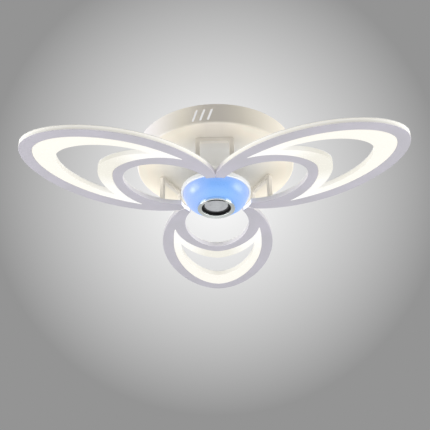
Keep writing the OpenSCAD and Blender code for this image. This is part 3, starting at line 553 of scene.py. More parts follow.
# Turned brass: warm yellow metal with the soft gloss that the tool leaves
brassLook = {"color": "#d9b96c", "shade": "#cba85a", "cloud": 6, "grain": 0.8, "relief": 0.006,
             "roughness": (0.22, 0.35)}
turnedBrass = surface("turnedBrass", brassLook, {"Metallic": 1.0})

# White solder mask on the aluminium light boards: a smooth, slightly glossy lacquer
boardLook = {"color": "#f2f2ee", "shade": "#ebebe6", "cloud": 20, "grain": 1.0, "relief": 0.004,
             "roughness": (0.35, 0.45)}
whiteSolderMask = surface("whiteSolderMask", boardLook)

# Moulded nylon of the driver case: satin off-white with a fine eroded grain
nylonLook = {"color": "#ebebe6", "shade": "#e4e4de", "cloud": 30, "grain": 1.0, "relief": 0.02,
             "roughness": (0.42, 0.55)}
whiteNylon = surface("whiteNylon", nylonLook)

# Moulded polyamide of the terminal block: the same satin in ivory
ivoryLook = {"color": "#e9e2cc", "shade": "#e2dac2", "cloud": 15, "grain": 0.9, "relief": 0.015,
             "roughness": (0.4, 0.5)}
ivoryPolyamide = surface("ivoryPolyamide", ivoryLook)

# Polyimide film and enamelled wire of the voice coil: amber brown with a lacquer's gloss
filmLook = {"color": "#a9713a", "shade": "#95602e", "cloud": 4, "grain": 0.5, "relief": 0.01,
            "roughness": (0.3, 0.4)}
amberFilm = surface("amberFilm", filmLook)

# Moulded epoxy of the black parts on the amplifier board: matt, with a sandy grain
moldLook = {"color": "#1d1e20", "shade": "#242528", "cloud": 6, "grain": 0.5, "relief": 0.01,
            "roughness": (0.4, 0.55)}
blackEpoxy = surface("blackEpoxy", moldLook)

# Green solder mask: a glossy lacquer with paler copper tracks under it, drawn wider than real
maskLook = {"color": "#1d5b38", "shade": "#195232", "cloud": 10, "grain": 1.0, "relief": 0.01,
            "roughness": (0.25, 0.35), "track": "#3b8657", "trackPitch": 3.2, "trackWidth": 0.02,
            "rowShare": 0.25}


def trackedMask(look):
    made = surface("greenSolderMask", look)
    tree = made.node_tree
    color = tree.nodes["shader"].inputs["Base Color"]
    # a row of bricks is a quarter of the pattern's unit high
    scale = look["rowShare"] / (look["trackPitch"] * mm)
    bricks = {"Vector": tree.nodes["place"].outputs["Object"], "Scale": scale,
              "Color1": rgba("#000000"), "Color2": rgba("#000000"), "Mortar": rgba("#ffffff"),
              "Mortar Size": look["trackWidth"]}
    tracks = addNode(tree, "TexBrick", named=bricks)
    green = addNode(tree, "Mix", tracks, color.links[0].from_socket, rgba(look["track"]), data_type="RGBA")
    plug(tree, green, color)
    return made


greenSolderMask = trackedMask(maskLook)

partFinish = {
    "canopy_paint": creamPowderCoat, "bracket_paint": barPowderCoat, "frame_finish": lilacPolycarbonate,
    "back_plate_paint": whitePowderCoat, "diffuser_acrylic": opalAcrylic, "dome_acrylic": frostedAcrylic,
    "pod_white": whiteAbs, "chrome_trim": chromePlate, "black_moulding": blackAbs, "diaphragm": coatedPulp,
    "surround_rubber": butylRubber, "basket_steel": blackElectrocoat, "ferrite": sinteredFerrite,
    "zinc_steel": zincPlate, "brass": turnedBrass, "board_white": whiteSolderMask,
    "board_green": greenSolderMask, "component_black": blackEpoxy, "case_plastic": whiteNylon,
    "terminal_plastic": ivoryPolyamide, "former_film": amberFilm,
}
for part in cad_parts.values():
    for holder in part.material_slots:
        holder.material = partFinish[holder.material.name]
print("materials made:", len(bpy.data.materials))

# Petals: nested curves, blunt or pointed towards the tip and elliptical towards the root.
# Each curve is (middle, reach, root, half width, bluntness), along the petal from the stem.
petal = {
    "outline": (154, 320, 154, 94, 1.85), "light": (154, 300, 165, 75.5, 1.85),
    "ring": (92, 174, 92, 69.5, 1.7), "core": (80, 157, 66, 52.5, 1.9),
    "window": (154, 264.5, 77.3, 63, 1.8), "windowInner": (116, 198, 116, 69.5, 1.7),
    "screws": (154, 310, 154, 84.75, 1.85), "screwTurns": (0, 46, -46, 92, -92), "innerScrew": (165.5, 0),
    "hornStart": 96, "hubR": 58.1, "rootGap": 0.4, "panelGap": 0.3, "holeEdge": 2, "wallTilt": -0.6,
    "frameEdge": 1.0, "panelEdge": 0.5, "plateEdge": 0.25, "cornerR": 0.35, "sharpTurn": 140,
    "outlineSteps": (90, 8, 60), "lightSteps": (80, 60), "windowSteps": (70, 50),
}
petalTurns = {"Rear": 90, "Left": 210, "Right": 330}


def petalPoint(curve, degrees):
    middle, reach, root, half, power = curve
    c, s = math.cos(math.radians(degrees)), math.sin(math.radians(degrees))
    length, bend = (reach - middle, 2 / power) if c >= 0 else (root, 1)
    return (middle + math.copysign(length * abs(c) ** bend, c), half * math.copysign(abs(s) ** bend, s))


def grown(curve, by):
    middle, reach, root, half, power = curve
    return (middle, reach + by, root + by, half + by, power)


def insideCurve(curve, point):
    middle, reach, root, half, power = curve
    length, bend = (reach - middle, power) if point[0] >= middle else (root, 2)
    return (abs(point[0] - middle) / length) ** bend + (abs(point[1]) / half) ** bend < 1


def crossing(curve, test):  # the angle along a curve at which test stops being what it is at the tip
    atTip = test(petalPoint(curve, 0))
    high = next(a for a in range(1, 180) if test(petalPoint(curve, a)) != atTip)
    low = high - 1
    for _ in range(30):  # the degree that holds it is halved again and again
        middle = (low + high) / 2
        low, high = (middle, high) if test(petalPoint(curve, middle)) == atTip else (low, middle)
    return low


def along(curve, start, end, steps):
    return [petalPoint(curve, start + (end - start) * i / steps) for i in range(steps + 1)]


def mirrored(half):  # half an outline from axis to axis, closed by its mirror image
    return half + [(u, -v) for u, v in reversed(half[1:-1])]


def petalOutline():
    hub, gap, sector = petal["hubR"], petal["rootGap"] / 2, math.radians(60)
    tipSteps, hubSteps, coreSteps = petal["outlineSteps"]
    edgeTurn = crossing(petal["outline"], lambda p: p[1] * math.cos(sector) + gap < p[0] * math.sin(sector))
    coreTurn = crossing(petal["core"], lambda p: math.hypot(*p) > hub)
    coreEnd = petalPoint(petal["core"], coreTurn)
    hubStart = math.degrees(sector - math.asin(gap / hub))
    hubEnd = math.degrees(math.atan2(coreEnd[1], coreEnd[0]))
    half = along(petal["outline"], 0, edgeTurn, tipSteps)
    half += arc((0, 0), (hub, hub), hubStart, hubEnd, hubSteps)[:-1]
    half += along(petal["core"], coreTurn, 0, coreSteps)
    return mirrored(half)


def lightOutline(inset):  # the luminous field between the outer band and the inner ring
    outer, ring = grown(petal["light"], -inset), grown(petal["ring"], inset)
    start = petal["hornStart"] + inset
    outerSteps, ringSteps = petal["lightSteps"]
    half = along(outer, 0, crossing(outer, lambda p: p[0] > start), outerSteps)
    half += along(ring, crossing(ring, lambda p: p[0] > start), 0, ringSteps)
    return mirrored(half)


def windowOutline():
    outer, inner = petal["window"], petal["windowInner"]
    outerSteps, innerSteps = petal["windowSteps"]
    half = along(outer, 0, crossing(outer, lambda p: not insideCurve(inner, p)), outerSteps)
    half += along(inner, crossing(inner, lambda p: insideCurve(outer, p)), 0, innerSteps)[1:]
    return mirrored(half)


def slab(name, outlines, low, high, edge):  # the first outline is filled and raised, less the second
    rings = []
    for outline in outlines:
        bpy.ops.object.select_all(action="DESELECT")
        bpy.ops.mesh.primitive_circle_add(vertices=len(outline), radius=1)
        ring = settle(name)
        for vertex, (u, v) in zip(ring.data.vertices, outline):
            vertex.co = (u, v, low)
        openPiece(ring, "VERT")
        mesh = bmesh.from_edit_mesh(ring.data)
        for vertex in mesh.verts:  # the outline's sharp corners, which a mould rounds
            legs = [(edgeLine.other_vert(vertex).co - vertex.co) for edgeLine in vertex.link_edges]
            vertex.select_set(legs[0].angle(legs[1]) < math.radians(petal["sharpTurn"]))
        bmesh.update_edit_mesh(ring.data)
        bpy.ops.mesh.bevel(offset=petal["cornerR"], segments=5, affect="VERTICES")
        closePiece()
        rings.append(ring)
    piece = joined(name, rings)
    openPiece(piece, "EDGE")
    bpy.ops.mesh.select_all(action="SELECT")
    bpy.ops.mesh.fill(use_beauty=True)
    bpy.ops.mesh.select_mode(type="FACE")
    bpy.ops.mesh.select_all(action="SELECT")
    bpy.ops.mesh.extrude_region_move(TRANSFORM_OT_translate={"value": (0, 0, high - low)})
    closePiece()
    outward(piece)
    roundEdges(piece, edge)
    return piece


faceZ, frameTop = (corner.z for corner in corners("petal_frame_rear"))
plateTop = corners("petal_back_rear")[1].z
frameMaster = slab("frameMaster", [petalOutline(), lightOutline(0)], faceZ, frameTop, petal["frameEdge"])
panelMaster = slab("panelMaster", [lightOutline(petal["panelGap"]), windowOutline()], faceZ, frameTop,
                   petal["panelEdge"])
plateMaster = slab("plateMaster", [petalOutline(), windowOutline()], frameTop, plateTop, petal["plateEdge"])
holeEdge = grown(petal["core"], petal["holeEdge"])
for side, degrees in petalTurns.items():
    frameName, panelName, plateName = (kind + side for kind in ("petalFrame", "petalPanel", "petalPlate"))
    suffix = "_" + side.lower()
    frameCopy = dress(twin(frameMaster, frameName, turn(degrees)), frameName,
                      [lilacPolycarbonate, pearlPolycarbonate, lilacPaintedGlow], stands=["petal_frame" + suffix])
    paintFaces(frameCopy, 1, lambda place, normal: normal.z > petal["wallTilt"])
    paintFaces(frameCopy, 2, lambda place, normal: normal.z > petal["wallTilt"]
               and insideCurve(holeEdge, (turn(-degrees) @ place)[:2]))
    dress(twin(panelMaster, panelName, turn(degrees)), panelName, [opalAcrylic],
          stands=["petal_diffuser" + suffix])
    dress(twin(plateMaster, plateName, turn(degrees)), plateName, [whitePowderCoat],
          stands=["petal_back" + suffix])
for master in (frameMaster, panelMaster, plateMaster):
    bpy.data.objects.remove(master)
print("petals modelled")

# Canopy: a pressed drum with a rolled lower edge, nine slanted vents and welded studs
drum = {"sides": 192, "edge": 3, "edgeSteps": 8, "wall": 1.2, "ventGroups": 3, "ventSlots": 3, "ventH": 22,
        "ventW": 3.6, "ventMid": 16, "ventPitch": 11.6, "ventLean": 19, "firstVent": 262, "toolDepth": 12,
        "screwHole": 4.4, "barScrewSpan": 24, "sideScrewZ": -12, "nippleHole": 10.6, "postR": 3.2,
        "postH": 4, "postEdge": 0.5, "studR": 1.5, "boardStudH": 5, "driverStudH": 5.4, "weld": 0.4,
        "boardInset": 4}
canopyLow, canopyHigh = corners("canopy_shell")
drumR, floorZ = canopyHigh.x, canopyLow.z
insideZ = floorZ + drum["wall"]
bracketLow, bracketHigh = corners("bracket_front")
bracketR = -(bracketLow.y + bracketHigh.y) / 2
bracketTurns = {"Front": 270, "Right": 30, "Left": 150}
barSpots = [turn(degrees) @ shift(bracketR, side * drum["barScrewSpan"] / 2, floorZ)
            for degrees in bracketTurns.values() for side in (-1, 1)]
sideSpots = [turn(degrees) @ shift(drumR, 0, drum["sideScrewZ"]) @ turn(90, "Y") for degrees in (0, 180)]


def ventTool():  # a slot that points along x and stands along z
    bpy.ops.object.select_all(action="DESELECT")
    bpy.ops.mesh.primitive_cylinder_add(vertices=24, radius=drum["ventW"] / 2, depth=drum["toolDepth"],
                                        rotation=(0, math.radians(90), 0))
    return drawnApart(settle("ventTool"), Vector((0, 0, drum["ventH"] - drum["ventW"])))


def canopyDrum():
    piece = addRod("canopyDrum", drumR, floorZ, 0, drum["sides"])
    openPiece(piece)
    pickFaces(piece, lambda place, normal: normal.z > mostly)
    bpy.ops.mesh.delete(type="FACE")
    closePiece()
    bevelEdges(piece, drum["edge"], lambda place, line: place.z < floorZ + near, drum["edgeSteps"])
    modify(piece, "SOLIDIFY", thickness=drum["wall"], offset=-1, use_even_offset=True)
    leaning = shift(drumR, 0, floorZ + drum["ventMid"]) @ turn(-drum["ventLean"], "X")
    pitch = math.degrees(drum["ventPitch"] / drumR)
    turns = [drum["firstVent"] + group * 360 / drum["ventGroups"] + (slot - 1) * pitch
             for group in range(drum["ventGroups"]) for slot in range(drum["ventSlots"])]
    tools = copiesOf(ventTool(), "vent", [turn(degrees) @ leaning for degrees in turns])
    tools.append(addRod("nippleHole", drum["nippleHole"] / 2, floorZ - 2, floorZ + 2))
    tools += copiesOf(addRod("hole", drum["screwHole"] / 2, -3, 3, sides=32), "hole", barSpots + sideSpots)
    cutWith(piece, joined("tools", tools))
    return piece


boardLow, boardHigh = corners("audio_board")
boardStuds = [(x, y) for x in (boardLow.x + drum["boardInset"], boardHigh.x - drum["boardInset"])
              for y in (boardLow.y + drum["boardInset"], boardHigh.y - drum["boardInset"])]
caseLow, caseHigh = corners("led_driver_case")
lidLow, lidHigh = corners("led_driver_lid")
driverY = (caseLow.y + caseHigh.y) / 2
driverStuds = [((caseLow.x + lidLow.x) / 2, driverY), ((caseHigh.x + lidHigh.x) / 2, driverY)]


def canopyStuds():
    pieces = []
    foot, top = insideZ - drum["weld"], insideZ + drum["postH"]
    for spot in boardStuds:
        post = addRod("post", drum["postR"], foot, top, sides=32, place=spot)
        bevelEdges(post, drum["postEdge"], atTop(top), segments=3)
        pieces += [post, addRod("stud", drum["studR"], top, top + drum["boardStudH"], sides=24, place=spot)]
    studTop = insideZ + drum["driverStudH"]
    for spot in driverStuds:
        pieces.append(addRod("stud", drum["studR"], foot, studTop, sides=24, place=spot))
    return pieces


dress(joined("canopyDrum", [canopyDrum(), *canopyStuds()]), "canopyDrum",
      [creamPowderCoat], stands=["canopy_shell"])
print("canopy modelled")

# Brackets: a square bar bent to an upside-down U, with soft edges
bar = {"width": 7, "outerR": 3, "innerR": 1.5, "edge": 0.6}


def bracketBar():
    low, high = bracketLow, bracketHigh
    inside = high.z - bar["width"]
    piece = addBox("bracketBar", low, high)
    bevelEdges(piece, bar["outerR"], bendAt(high.z))
    inner = addBox("inner", (low.x + bar["width"], low.y - 2, low.z - 2),
                   (high.x - bar["width"], high.y + 2, inside))
    bevelEdges(inner, bar["innerR"], bendAt(inside))
    cutWith(piece, inner)
    roundEdges(piece, bar["edge"])
    return piece


bracketMaster = bracketBar()
for side, degrees in bracketTurns.items():
    name = "bracket" + side
    dress(twin(bracketMaster, name, turn(degrees - bracketTurns["Front"])), name,
          [barPowderCoat], stands=["bracket_" + side.lower()])
bpy.data.objects.remove(bracketMaster)
print("brackets modelled")

# Pod: a white tray, a dome like a ring cushion, and the chromed mouth of the speaker
pod = {"rim": 3.2, "rimEdge": 1.3, "plate": 2, "trayEdge": 0.4, "domeWall": 2, "widestRise": 10,
       "wellR": 22.9, "wellOuterR": 27, "ledgeR": 20.5, "flangeT": 1.2, "wellRim": 1.2, "wellEdge": 0.2,
       "mouthGap": 0.4, "wellGap": 0.1, "trimRim": 1.2, "trimLip": 0.8, "trimDish": 1.2, "trimEdge": 0.2,
       "dishTurn": 264}
baseLow, baseHigh = corners("pod_base")
domeLow, domeHigh = corners("pod_dome")
trimLow, trimHigh = corners("trim_ring")
trimHigh.z = domeLow.z  # the tongue that snaps into the well stays hidden


def podTray():
    outerR = baseHigh.x
    piece = addRod("podTray", outerR, baseLow.z, baseHigh.z, sides=160)
    hollow(piece, pod["rim"], baseHigh.z - baseLow.z - pod["plate"], -1)
    bevelEdges(piece, pod["rimEdge"], lambda place, line: not upright(place, line)
               and math.hypot(*place[:2]) > outerR - near, segments=5)
    roundEdges(piece, pod["trayEdge"])
    return piece


def podDome():
    widest = faceZ + pod["widestRise"]
    radius, depth = domeHigh.x - trimHigh.x, widest - domeLow.z
    bpy.ops.object.select_all(action="DESELECT")
    bpy.ops.mesh.primitive_torus_add(major_radius=trimHigh.x, minor_radius=radius, major_segments=160,
                                     minor_segments=96, location=(0, 0, widest))
    bpy.context.object.scale = (1, 1, depth / radius)
    piece = settle("podDome")
    openPiece(piece)
    pickFaces(piece, lambda place, normal: place.z > widest or math.hypot(*place[:2]) < trimHigh.x)
    bpy.ops.mesh.delete(type="FACE")
    bpy.ops.mesh.select_mode(type="EDGE")
    pickEdges(piece, lambda place, line: place.z > widest - near)
    bpy.ops.mesh.extrude_region_move(TRANSFORM_OT_translate={"value": (0, 0, domeHigh.z - widest)})
    bpy.ops.mesh.select_all(action="DESELECT")
    pickEdges(piece, lambda place, line: place.z < domeLow.z + hair)
    bpy.ops.mesh.extrude_region_move()
    shrink = (pod["wellOuterR"] + pod["mouthGap"]) / trimHigh.x
    bpy.ops.transform.resize(value=(shrink, shrink, 1), center_override=(0, 0, 0))
    closePiece()
    outward(piece)
    modify(piece, "SOLIDIFY", thickness=pod["domeWall"], offset=-1, use_even_offset=True)
    return piece


def trimRing():  # a shallow dish from its rim in to a thin lip, round the end of the well
    rim, lip, edge = pod["trimRim"] / 2, pod["trimLip"] / 2, pod["trimEdge"]
    bore = pod["wellR"] + pod["wellRim"] + pod["wellGap"]
    lipTop = trimLow.z + pod["trimDish"] + pod["trimLip"]
    profile = [(bore, trimHigh.z), (bore, lipTop)]
    profile += arc((pod["wellR"] + lip, lipTop - lip), (lip, lip), 90, pod["dishTurn"], 10)
    profile += arc((trimHigh.x - rim, trimLow.z + rim), (rim, rim), pod["dishTurn"], 360, 10)
    profile += arc((trimHigh.x - edge, trimHigh.z - edge), (edge, edge), 0, 90, 3)
    return turned("trimRing", profile + profile[:1])


def speakerWell():
    low, high = corners("speaker_well")
    ledge = corners("speaker_basket")[0].z + pod["flangeT"]
    inner, outer, seat, rim = pod["wellR"], pod["wellOuterR"], pod["ledgeR"], pod["wellR"] + pod["wellRim"]
    profile = [(inner, low.z), (inner, ledge), (seat, ledge), (seat, high.z), (outer, high.z),
               (outer, domeLow.z), (rim, domeLow.z), (rim, low.z)]
    piece = turned("speakerWell", profile + profile[:1])
    roundEdges(piece, pod["wellEdge"], segments=2)
    return piece


dress(podTray(), "podTray", [whiteAbs], stands=["pod_base"])
dress(podDome(), "podDome", [frostedAcrylic], stands=["pod_dome"])
dress(trimRing(), "trimRing", [chromePlate], stands=["trim_ring"])
dress(speakerWell(), "speakerWell", [blackAbs], stands=["speaker_well"])
print("pod modelled")

# Speaker: a dished diaphragm with a domed cap and fine rings, in a rubber half roll
cone = {"dish": 1.3, "capR": 10, "capDrop": 0.85, "capSteps": 12, "rib": 0.12, "ribs": 4, "ribSteps": 6,
        "thick": 0.6, "hem": 1, "lift": 0.1}
roll = {"gap": 0.3, "hem": 0.5, "thick": 0.6, "steps": 16}


def diaphragmDish():
    low, high = corners("speaker_cone")
    edgeZ, backZ, hemR = low.z + cone["lift"], low.z + cone["lift"] + cone["dish"], high.x - cone["hem"]
    cap = [(cone["capR"] * math.sin(a), backZ - cone["thick"] - cone["capDrop"] * math.cos(a))
           for a in (math.radians(90 * i / cone["capSteps"]) for i in range(cone["capSteps"] + 1))]
    slope = []
    steps = cone["ribs"] * cone["ribSteps"]
    for share in (i / steps for i in range(1, steps)):
        height = edgeZ + (cone["dish"] - cone["thick"]) * (1 - share)
        height += cone["rib"] * math.sin(math.tau * cone["ribs"] * share)
        slope.append((cone["capR"] + (hemR - cone["capR"]) * share, height))
    outer = [(hemR, edgeZ), (high.x, edgeZ), (high.x, edgeZ + cone["thick"])]
    back = [(cone["capR"], backZ), (0, backZ)]
    return turned("diaphragmDish", cap + slope + outer + back)


def rubberSurround():
    low, high = corners("speaker_surround")
    inner, outer, thick = corners("speaker_cone")[1].x + roll["gap"], high.x, roll["thick"]
    middle, reach, drop = (inner + outer) / 2, (outer - inner) / 2 - roll["hem"], high.z - low.z
    profile = [(inner, high.z - thick)]
    profile += arc((middle, high.z), (reach, drop), 180, 360, roll["steps"])
    profile += [(outer, high.z - thick), (outer, high.z)]
    profile += arc((middle, high.z), (reach - thick, drop - thick), 360, 180, roll["steps"])
    profile += [(inner, high.z)]
    return turned("rubberSurround", profile + profile[:1])


dress(diaphragmDish(), "diaphragmDish", [coatedPulp], body="diaphragm",
      stands=["speaker_cone"])
dress(rubberSurround(), "rubberSurround", [butylRubber], stands=["speaker_surround"])
print("speaker modelled")

# Screws: a pan head with a cross recess, modelled once for each size and copied to every place.
# A size is the head's diameter and height, the shank's diameter and its length.
screwSizes = {"side": (7.6, 2.4, 4, 9), "bracket": (7.6, 2.4, 4, 6.2), "plate": (4.8, 1.5, 2.5, 6.4),
              "pod": (5.6, 2, 3, 10)}
panHead = {"crown": 0.7, "crossReach": 0.3, "crossWidth": 0.07, "crossFloor": 0.4, "shankSink": 0.1}


def panScrew(headD, headH, shankD, length):
    head = addRod("head", headD / 2, 0, headH, sides=32)
    bevelEdges(head, headH * panHead["crown"], atTop(headH), segments=5)
    reach, width = headD * panHead["crossReach"], headD * panHead["crossWidth"]
    for x, y in ((reach, width), (width, reach)):
        cutWith(head, addBox("recess", (-x, -y, headH * panHead["crossFloor"]), (x, y, headH + 1)))
    return joined("screw", [head, addRod("shank", shankD / 2, -length, panHead["shankSink"], sides=20)])


def screwGroup(name, screw, places, stands):
    dress(joined(name, copiesOf(screw, name, places)), name, [zincPlate], stands=stands)


screwGroup("sideScrews", panScrew(*screwSizes["side"]), sideSpots, ["side_screws"])
barPlaces = [shift(0, 0, drum["wall"]) @ spot for spot in barSpots]
screwGroup("bracketScrews", panScrew(*screwSizes["bracket"]), barPlaces, ["bracket_screws"])
plateSpots = [petalPoint(petal["screws"], degrees) for degrees in petal["screwTurns"]]
platePlaces = [turn(degrees) @ shift(*spot, plateTop) for degrees in petalTurns.values()
               for spot in plateSpots + [petal["innerScrew"]]]
screwGroup("plateScrews", panScrew(*screwSizes["plate"]), platePlaces, ["face_screws"])
podPlaces = [turn(degrees) @ shift((pod["wellR"] + pod["wellOuterR"]) / 2, 0, baseHigh.z)
             for degrees in (30, 150, 270)]
screwGroup("podScrews", panScrew(*screwSizes["pod"]), podPlaces, ["pod_screws"])
print("screws placed")

# Stem: a plain tube round a threaded nipple, with a washer and a nut at the top and a nut below.
# The thread's crest and root stand at shares of each turn.
stem = {"tubeWall": 1.2, "tubeBead": 0.5, "pitch": 1.0, "threadDepth": 0.5, "crestAt": 0.6, "rootAt": 1.1,
        "nippleWall": 1.4, "washerHole": 10.6, "washerEdge": 0.35, "nutT": 4, "nutRim": 3}
nut = {"crownTrim": 0.02, "crownEdge": 0.14, "overlap": 0.01}


def stemTube():
    low, high = corners("stem_sleeve")
    inner, bead = high.x - stem["tubeWall"], stem["tubeBead"]
    profile = [(inner, low.z), (high.x - bead, low.z), (high.x, low.z + bead), (high.x, high.z - bead),
               (high.x - bead, high.z), (inner, high.z)]
    return turned("stemTube", profile + profile[:1], steps=96)


def threadedNipple():
    low, high = corners("threaded_nipple")
    inner, crest, root = high.x - stem["nippleWall"], high.x, high.x - stem["threadDepth"]
    profile = [(inner, low.z), (root, low.z)]
    for count in range(int((high.z - low.z) / stem["pitch"]) - 1):
        profile.append((crest, low.z + (count + stem["crestAt"]) * stem["pitch"]))
        profile.append((root, low.z + (count + stem["rootAt"]) * stem["pitch"]))
    profile += [(root, high.z), (inner, high.z)]
    return turned("threadedNipple", profile + profile[:1], steps=48)


def hexNut(width, thickness, bore):
    cornerR, over = width / 2 / math.cos(math.pi / 6), nut["overlap"]
    piece = addRod("nut", cornerR, 0, thickness, sides=6)
    crown = addRod("crown", cornerR - nut["crownTrim"], -over, thickness + over, sides=48)
    roundEdges(crown, thickness * nut["crownEdge"], segments=2)
    modify(piece, "BOOLEAN", object=crown, operation="INTERSECT", solver="EXACT")
    bpy.data.objects.remove(crown)
    cutWith(piece, addRod("bore", bore / 2, -1, thickness + 1, sides=32))
    return piece


def plainWasher():
    low, high = corners("stem_washer")
    washer = addRod("washer", high.x, low.z, high.z, sides=72)
    roundEdges(washer, stem["washerEdge"], segments=2)
    cutWith(washer, addRod("bore", stem["washerHole"] / 2, low.z - 1, high.z + 1))
    return washer


dress(stemTube(), "stemTube", [stemCoatPaintedGlow], stands=["stem_sleeve"])
dress(threadedNipple(), "threadedNipple", [turnedBrass], stands=["threaded_nipple"])
dress(plainWasher(), "stemWasher", [zincPlate], stands=["stem_washer"])
nippleD = 2 * corners("threaded_nipple")[1].x
nutPlaces = [shift(0, 0, corners("stem_washer")[1].z), shift(0, 0, corners("stem_nuts")[0].z)]
screwGroup("stemNuts", hexNut(nippleD + 2 * stem["nutRim"], stem["nutT"], nippleD), nutPlaces, ["stem_nuts"])
print("stem modelled")

# Ceiling bar: a steel strip with bent ends and two slots for the ceiling screws
strip = {"thick": 2, "bend": 2.5, "innerBend": 0.6, "tabHalf": 11, "tabReach": 4, "slotL": 24, "slotW": 5,
         "slotSpan": 100, "cornerCut": 5.6, "edge": 0.2}


def ceilingBar():
    low, high = corners("mounting_bar")
    piece = addBox("ceilingBar", low, high)
    bevelEdges(piece, strip["bend"], bendAt(high.z), segments=5)
    flatZ, tabHalf, reach = high.z - strip["thick"], strip["tabHalf"], strip["tabReach"]
    inner = addBox("inner", (low.x + strip["thick"], low.y - 1, low.z - 1),
                   (high.x - strip["thick"], high.y + 1, flatZ))
    bevelEdges(inner, strip["innerBend"], bendAt(flatZ), segments=2)
    block = strip["cornerCut"] / math.sqrt(2)  # half a side of the block that cuts a corner
    tools = [inner]
    for end in (low.x, high.x):
        for side in (-1, 1):
            tab, past = sorted((side * tabHalf, side * (high.y + 1)))
            tools.append(addBox("side", (end - reach, tab, low.z - 1), (end + reach, past, flatZ - near)))
            corner = addBox("corner", (-block, -block, low.z), (block, block, high.z + 1))
            tools += copiesOf(corner, "corner", [shift(end, side * high.y, 0) @ turn(45)])
    slots = [shift(side * strip["slotSpan"] / 2, 0, high.z - strip["thick"] / 2) for side in (-1, 1)]
    tools += copiesOf(slotTool(strip["slotW"], strip["slotL"], 3 * strip["thick"]), "slot", slots)
    for tool in tools:
        cutWith(piece, tool)
    roundEdges(piece, strip["edge"], segments=2)
    return piece


dress(ceilingBar(), "ceilingBar", [zincPlate], stands=["mounting_bar"])
print("ceiling bar modelled")

# Driver: a moulded case with grooved sides, and a lid with cooling slits and snap tabs
driver = {"corner": 2.6, "wall": 1.6, "notch": 7, "earT": 2, "earHalf": 8, "earR": 3, "earHole": 3.6,
          "grooveW": 1.4, "grooveDeep": 0.5, "grooves": 13, "grooveEnd": 8, "grooveLift": 3}
lid = {"rim": 1.8, "sunk": 0.4, "edge": 0.25, "slits": 7, "slitW": 2, "slitL": 20, "slitPitch": 7,
       "tabs": (-30, 0, 30), "tabHalf": 3, "tabT": 1.2, "tabSink": 0.5, "overlap": 0.01}


def driverCase():
    low, high = caseLow, caseHigh
    body = addBox("driverCase", (lidLow.x, low.y, low.z), (lidHigh.x, high.y, high.z))
    bevelEdges(body, driver["corner"], upright, segments=4)
    hollow(body, driver["wall"], high.z - low.z - driver["wall"])
    # a notch at each end, where the wires come out
    notches = [shift(end, driverY, (low.z + lidHigh.z) / 2) @ turn(90, "Y") for end in (lidLow.x, lidHigh.x)]
    tools = copiesOf(addRod("notch", driver["notch"] / 2, -5, 5, sides=32), "notch", notches)
    halfW, deep, lift = driver["grooveW"] / 2, driver["grooveDeep"], driver["grooveLift"]
    first, last = lidLow.x + driver["grooveEnd"], lidHigh.x - driver["grooveEnd"]
    for step in range(driver["grooves"]):  # shallow grooves down the long sides
        x = first + step * (last - first) / (driver["grooves"] - 1)
        for side in (low.y, high.y):
            tools.append(addBox("groove", (x - halfW, side - deep, low.z + lift),
                                (x + halfW, side + deep, high.z - lift)))
    cutWith(body, joined("tools", tools))
    pieces = [body]
    earTop = low.z + driver["earT"]
    for (start, end), spot in zip(((low.x, lidLow.x), (lidHigh.x, high.x)), driverStuds):
        ear = addBox("ear", (start, driverY - driver["earHalf"], low.z),
                     (end, driverY + driver["earHalf"], earTop))
        bevelEdges(ear, driver["earR"],
                   lambda place, line: abs(line.z) > mostly and abs(place.x) > high.x - near, segments=6)
        cutWith(ear, addRod("hole", driver["earHole"] / 2, low.z - 1, earTop + 1, sides=24, place=spot))
        pieces.append(ear)
    return joined("driverCase", pieces)


def driverLid():
    low, high = lidLow, lidHigh
    piece = addBox("driverLid", (low.x, low.y, high.z - driver["wall"]), high)
    bevelEdges(piece, driver["corner"], upright, segments=4)
    hollow(piece, lid["rim"], lid["sunk"])
    places = [shift((step - (lid["slits"] - 1) / 2) * lid["slitPitch"], driverY, high.z) @ turn(90)
              for step in range(lid["slits"])]
    cutWith(piece, joined("slits", copiesOf(slotTool(lid["slitW"], lid["slitL"], 8), "slit", places)))
    roundEdges(piece, lid["edge"], segments=2)
    halfW, thick, over = lid["tabHalf"], lid["tabT"], lid["overlap"]
    tabs = [addBox("tab", (x - halfW, side - over, low.z), (x + halfW, side + thick, high.z - lid["tabSink"]))
            for x in lid["tabs"] for side in (low.y + driver["wall"], high.y - driver["wall"] - thick)]
    return joined("driverLid", [piece, *tabs])


dress(driverCase(), "driverCase", [whiteNylon], stands=["led_driver_case"])
dress(driverLid(), "driverLid", [whiteNylon], stands=["led_driver_lid"])
print("driver modelled")

# Terminal block: three poles with wire entries and slotted clamp screws
terminal = {"poles": 3, "pitch": 9.5, "topShare": 0.5, "entry": 3.6, "entryDrop": 1.5, "well": 4.6,
            "grooveHalf": 0.6, "grooveLift": 1.5, "edge": 0.3, "screwD": 4.4, "screwEdge": 0.4,
            "slotHalf": 0.4, "slotDepth": 1}
blockLow, blockHigh = corners("terminal_block")
blockMid = (blockLow + blockHigh) / 2


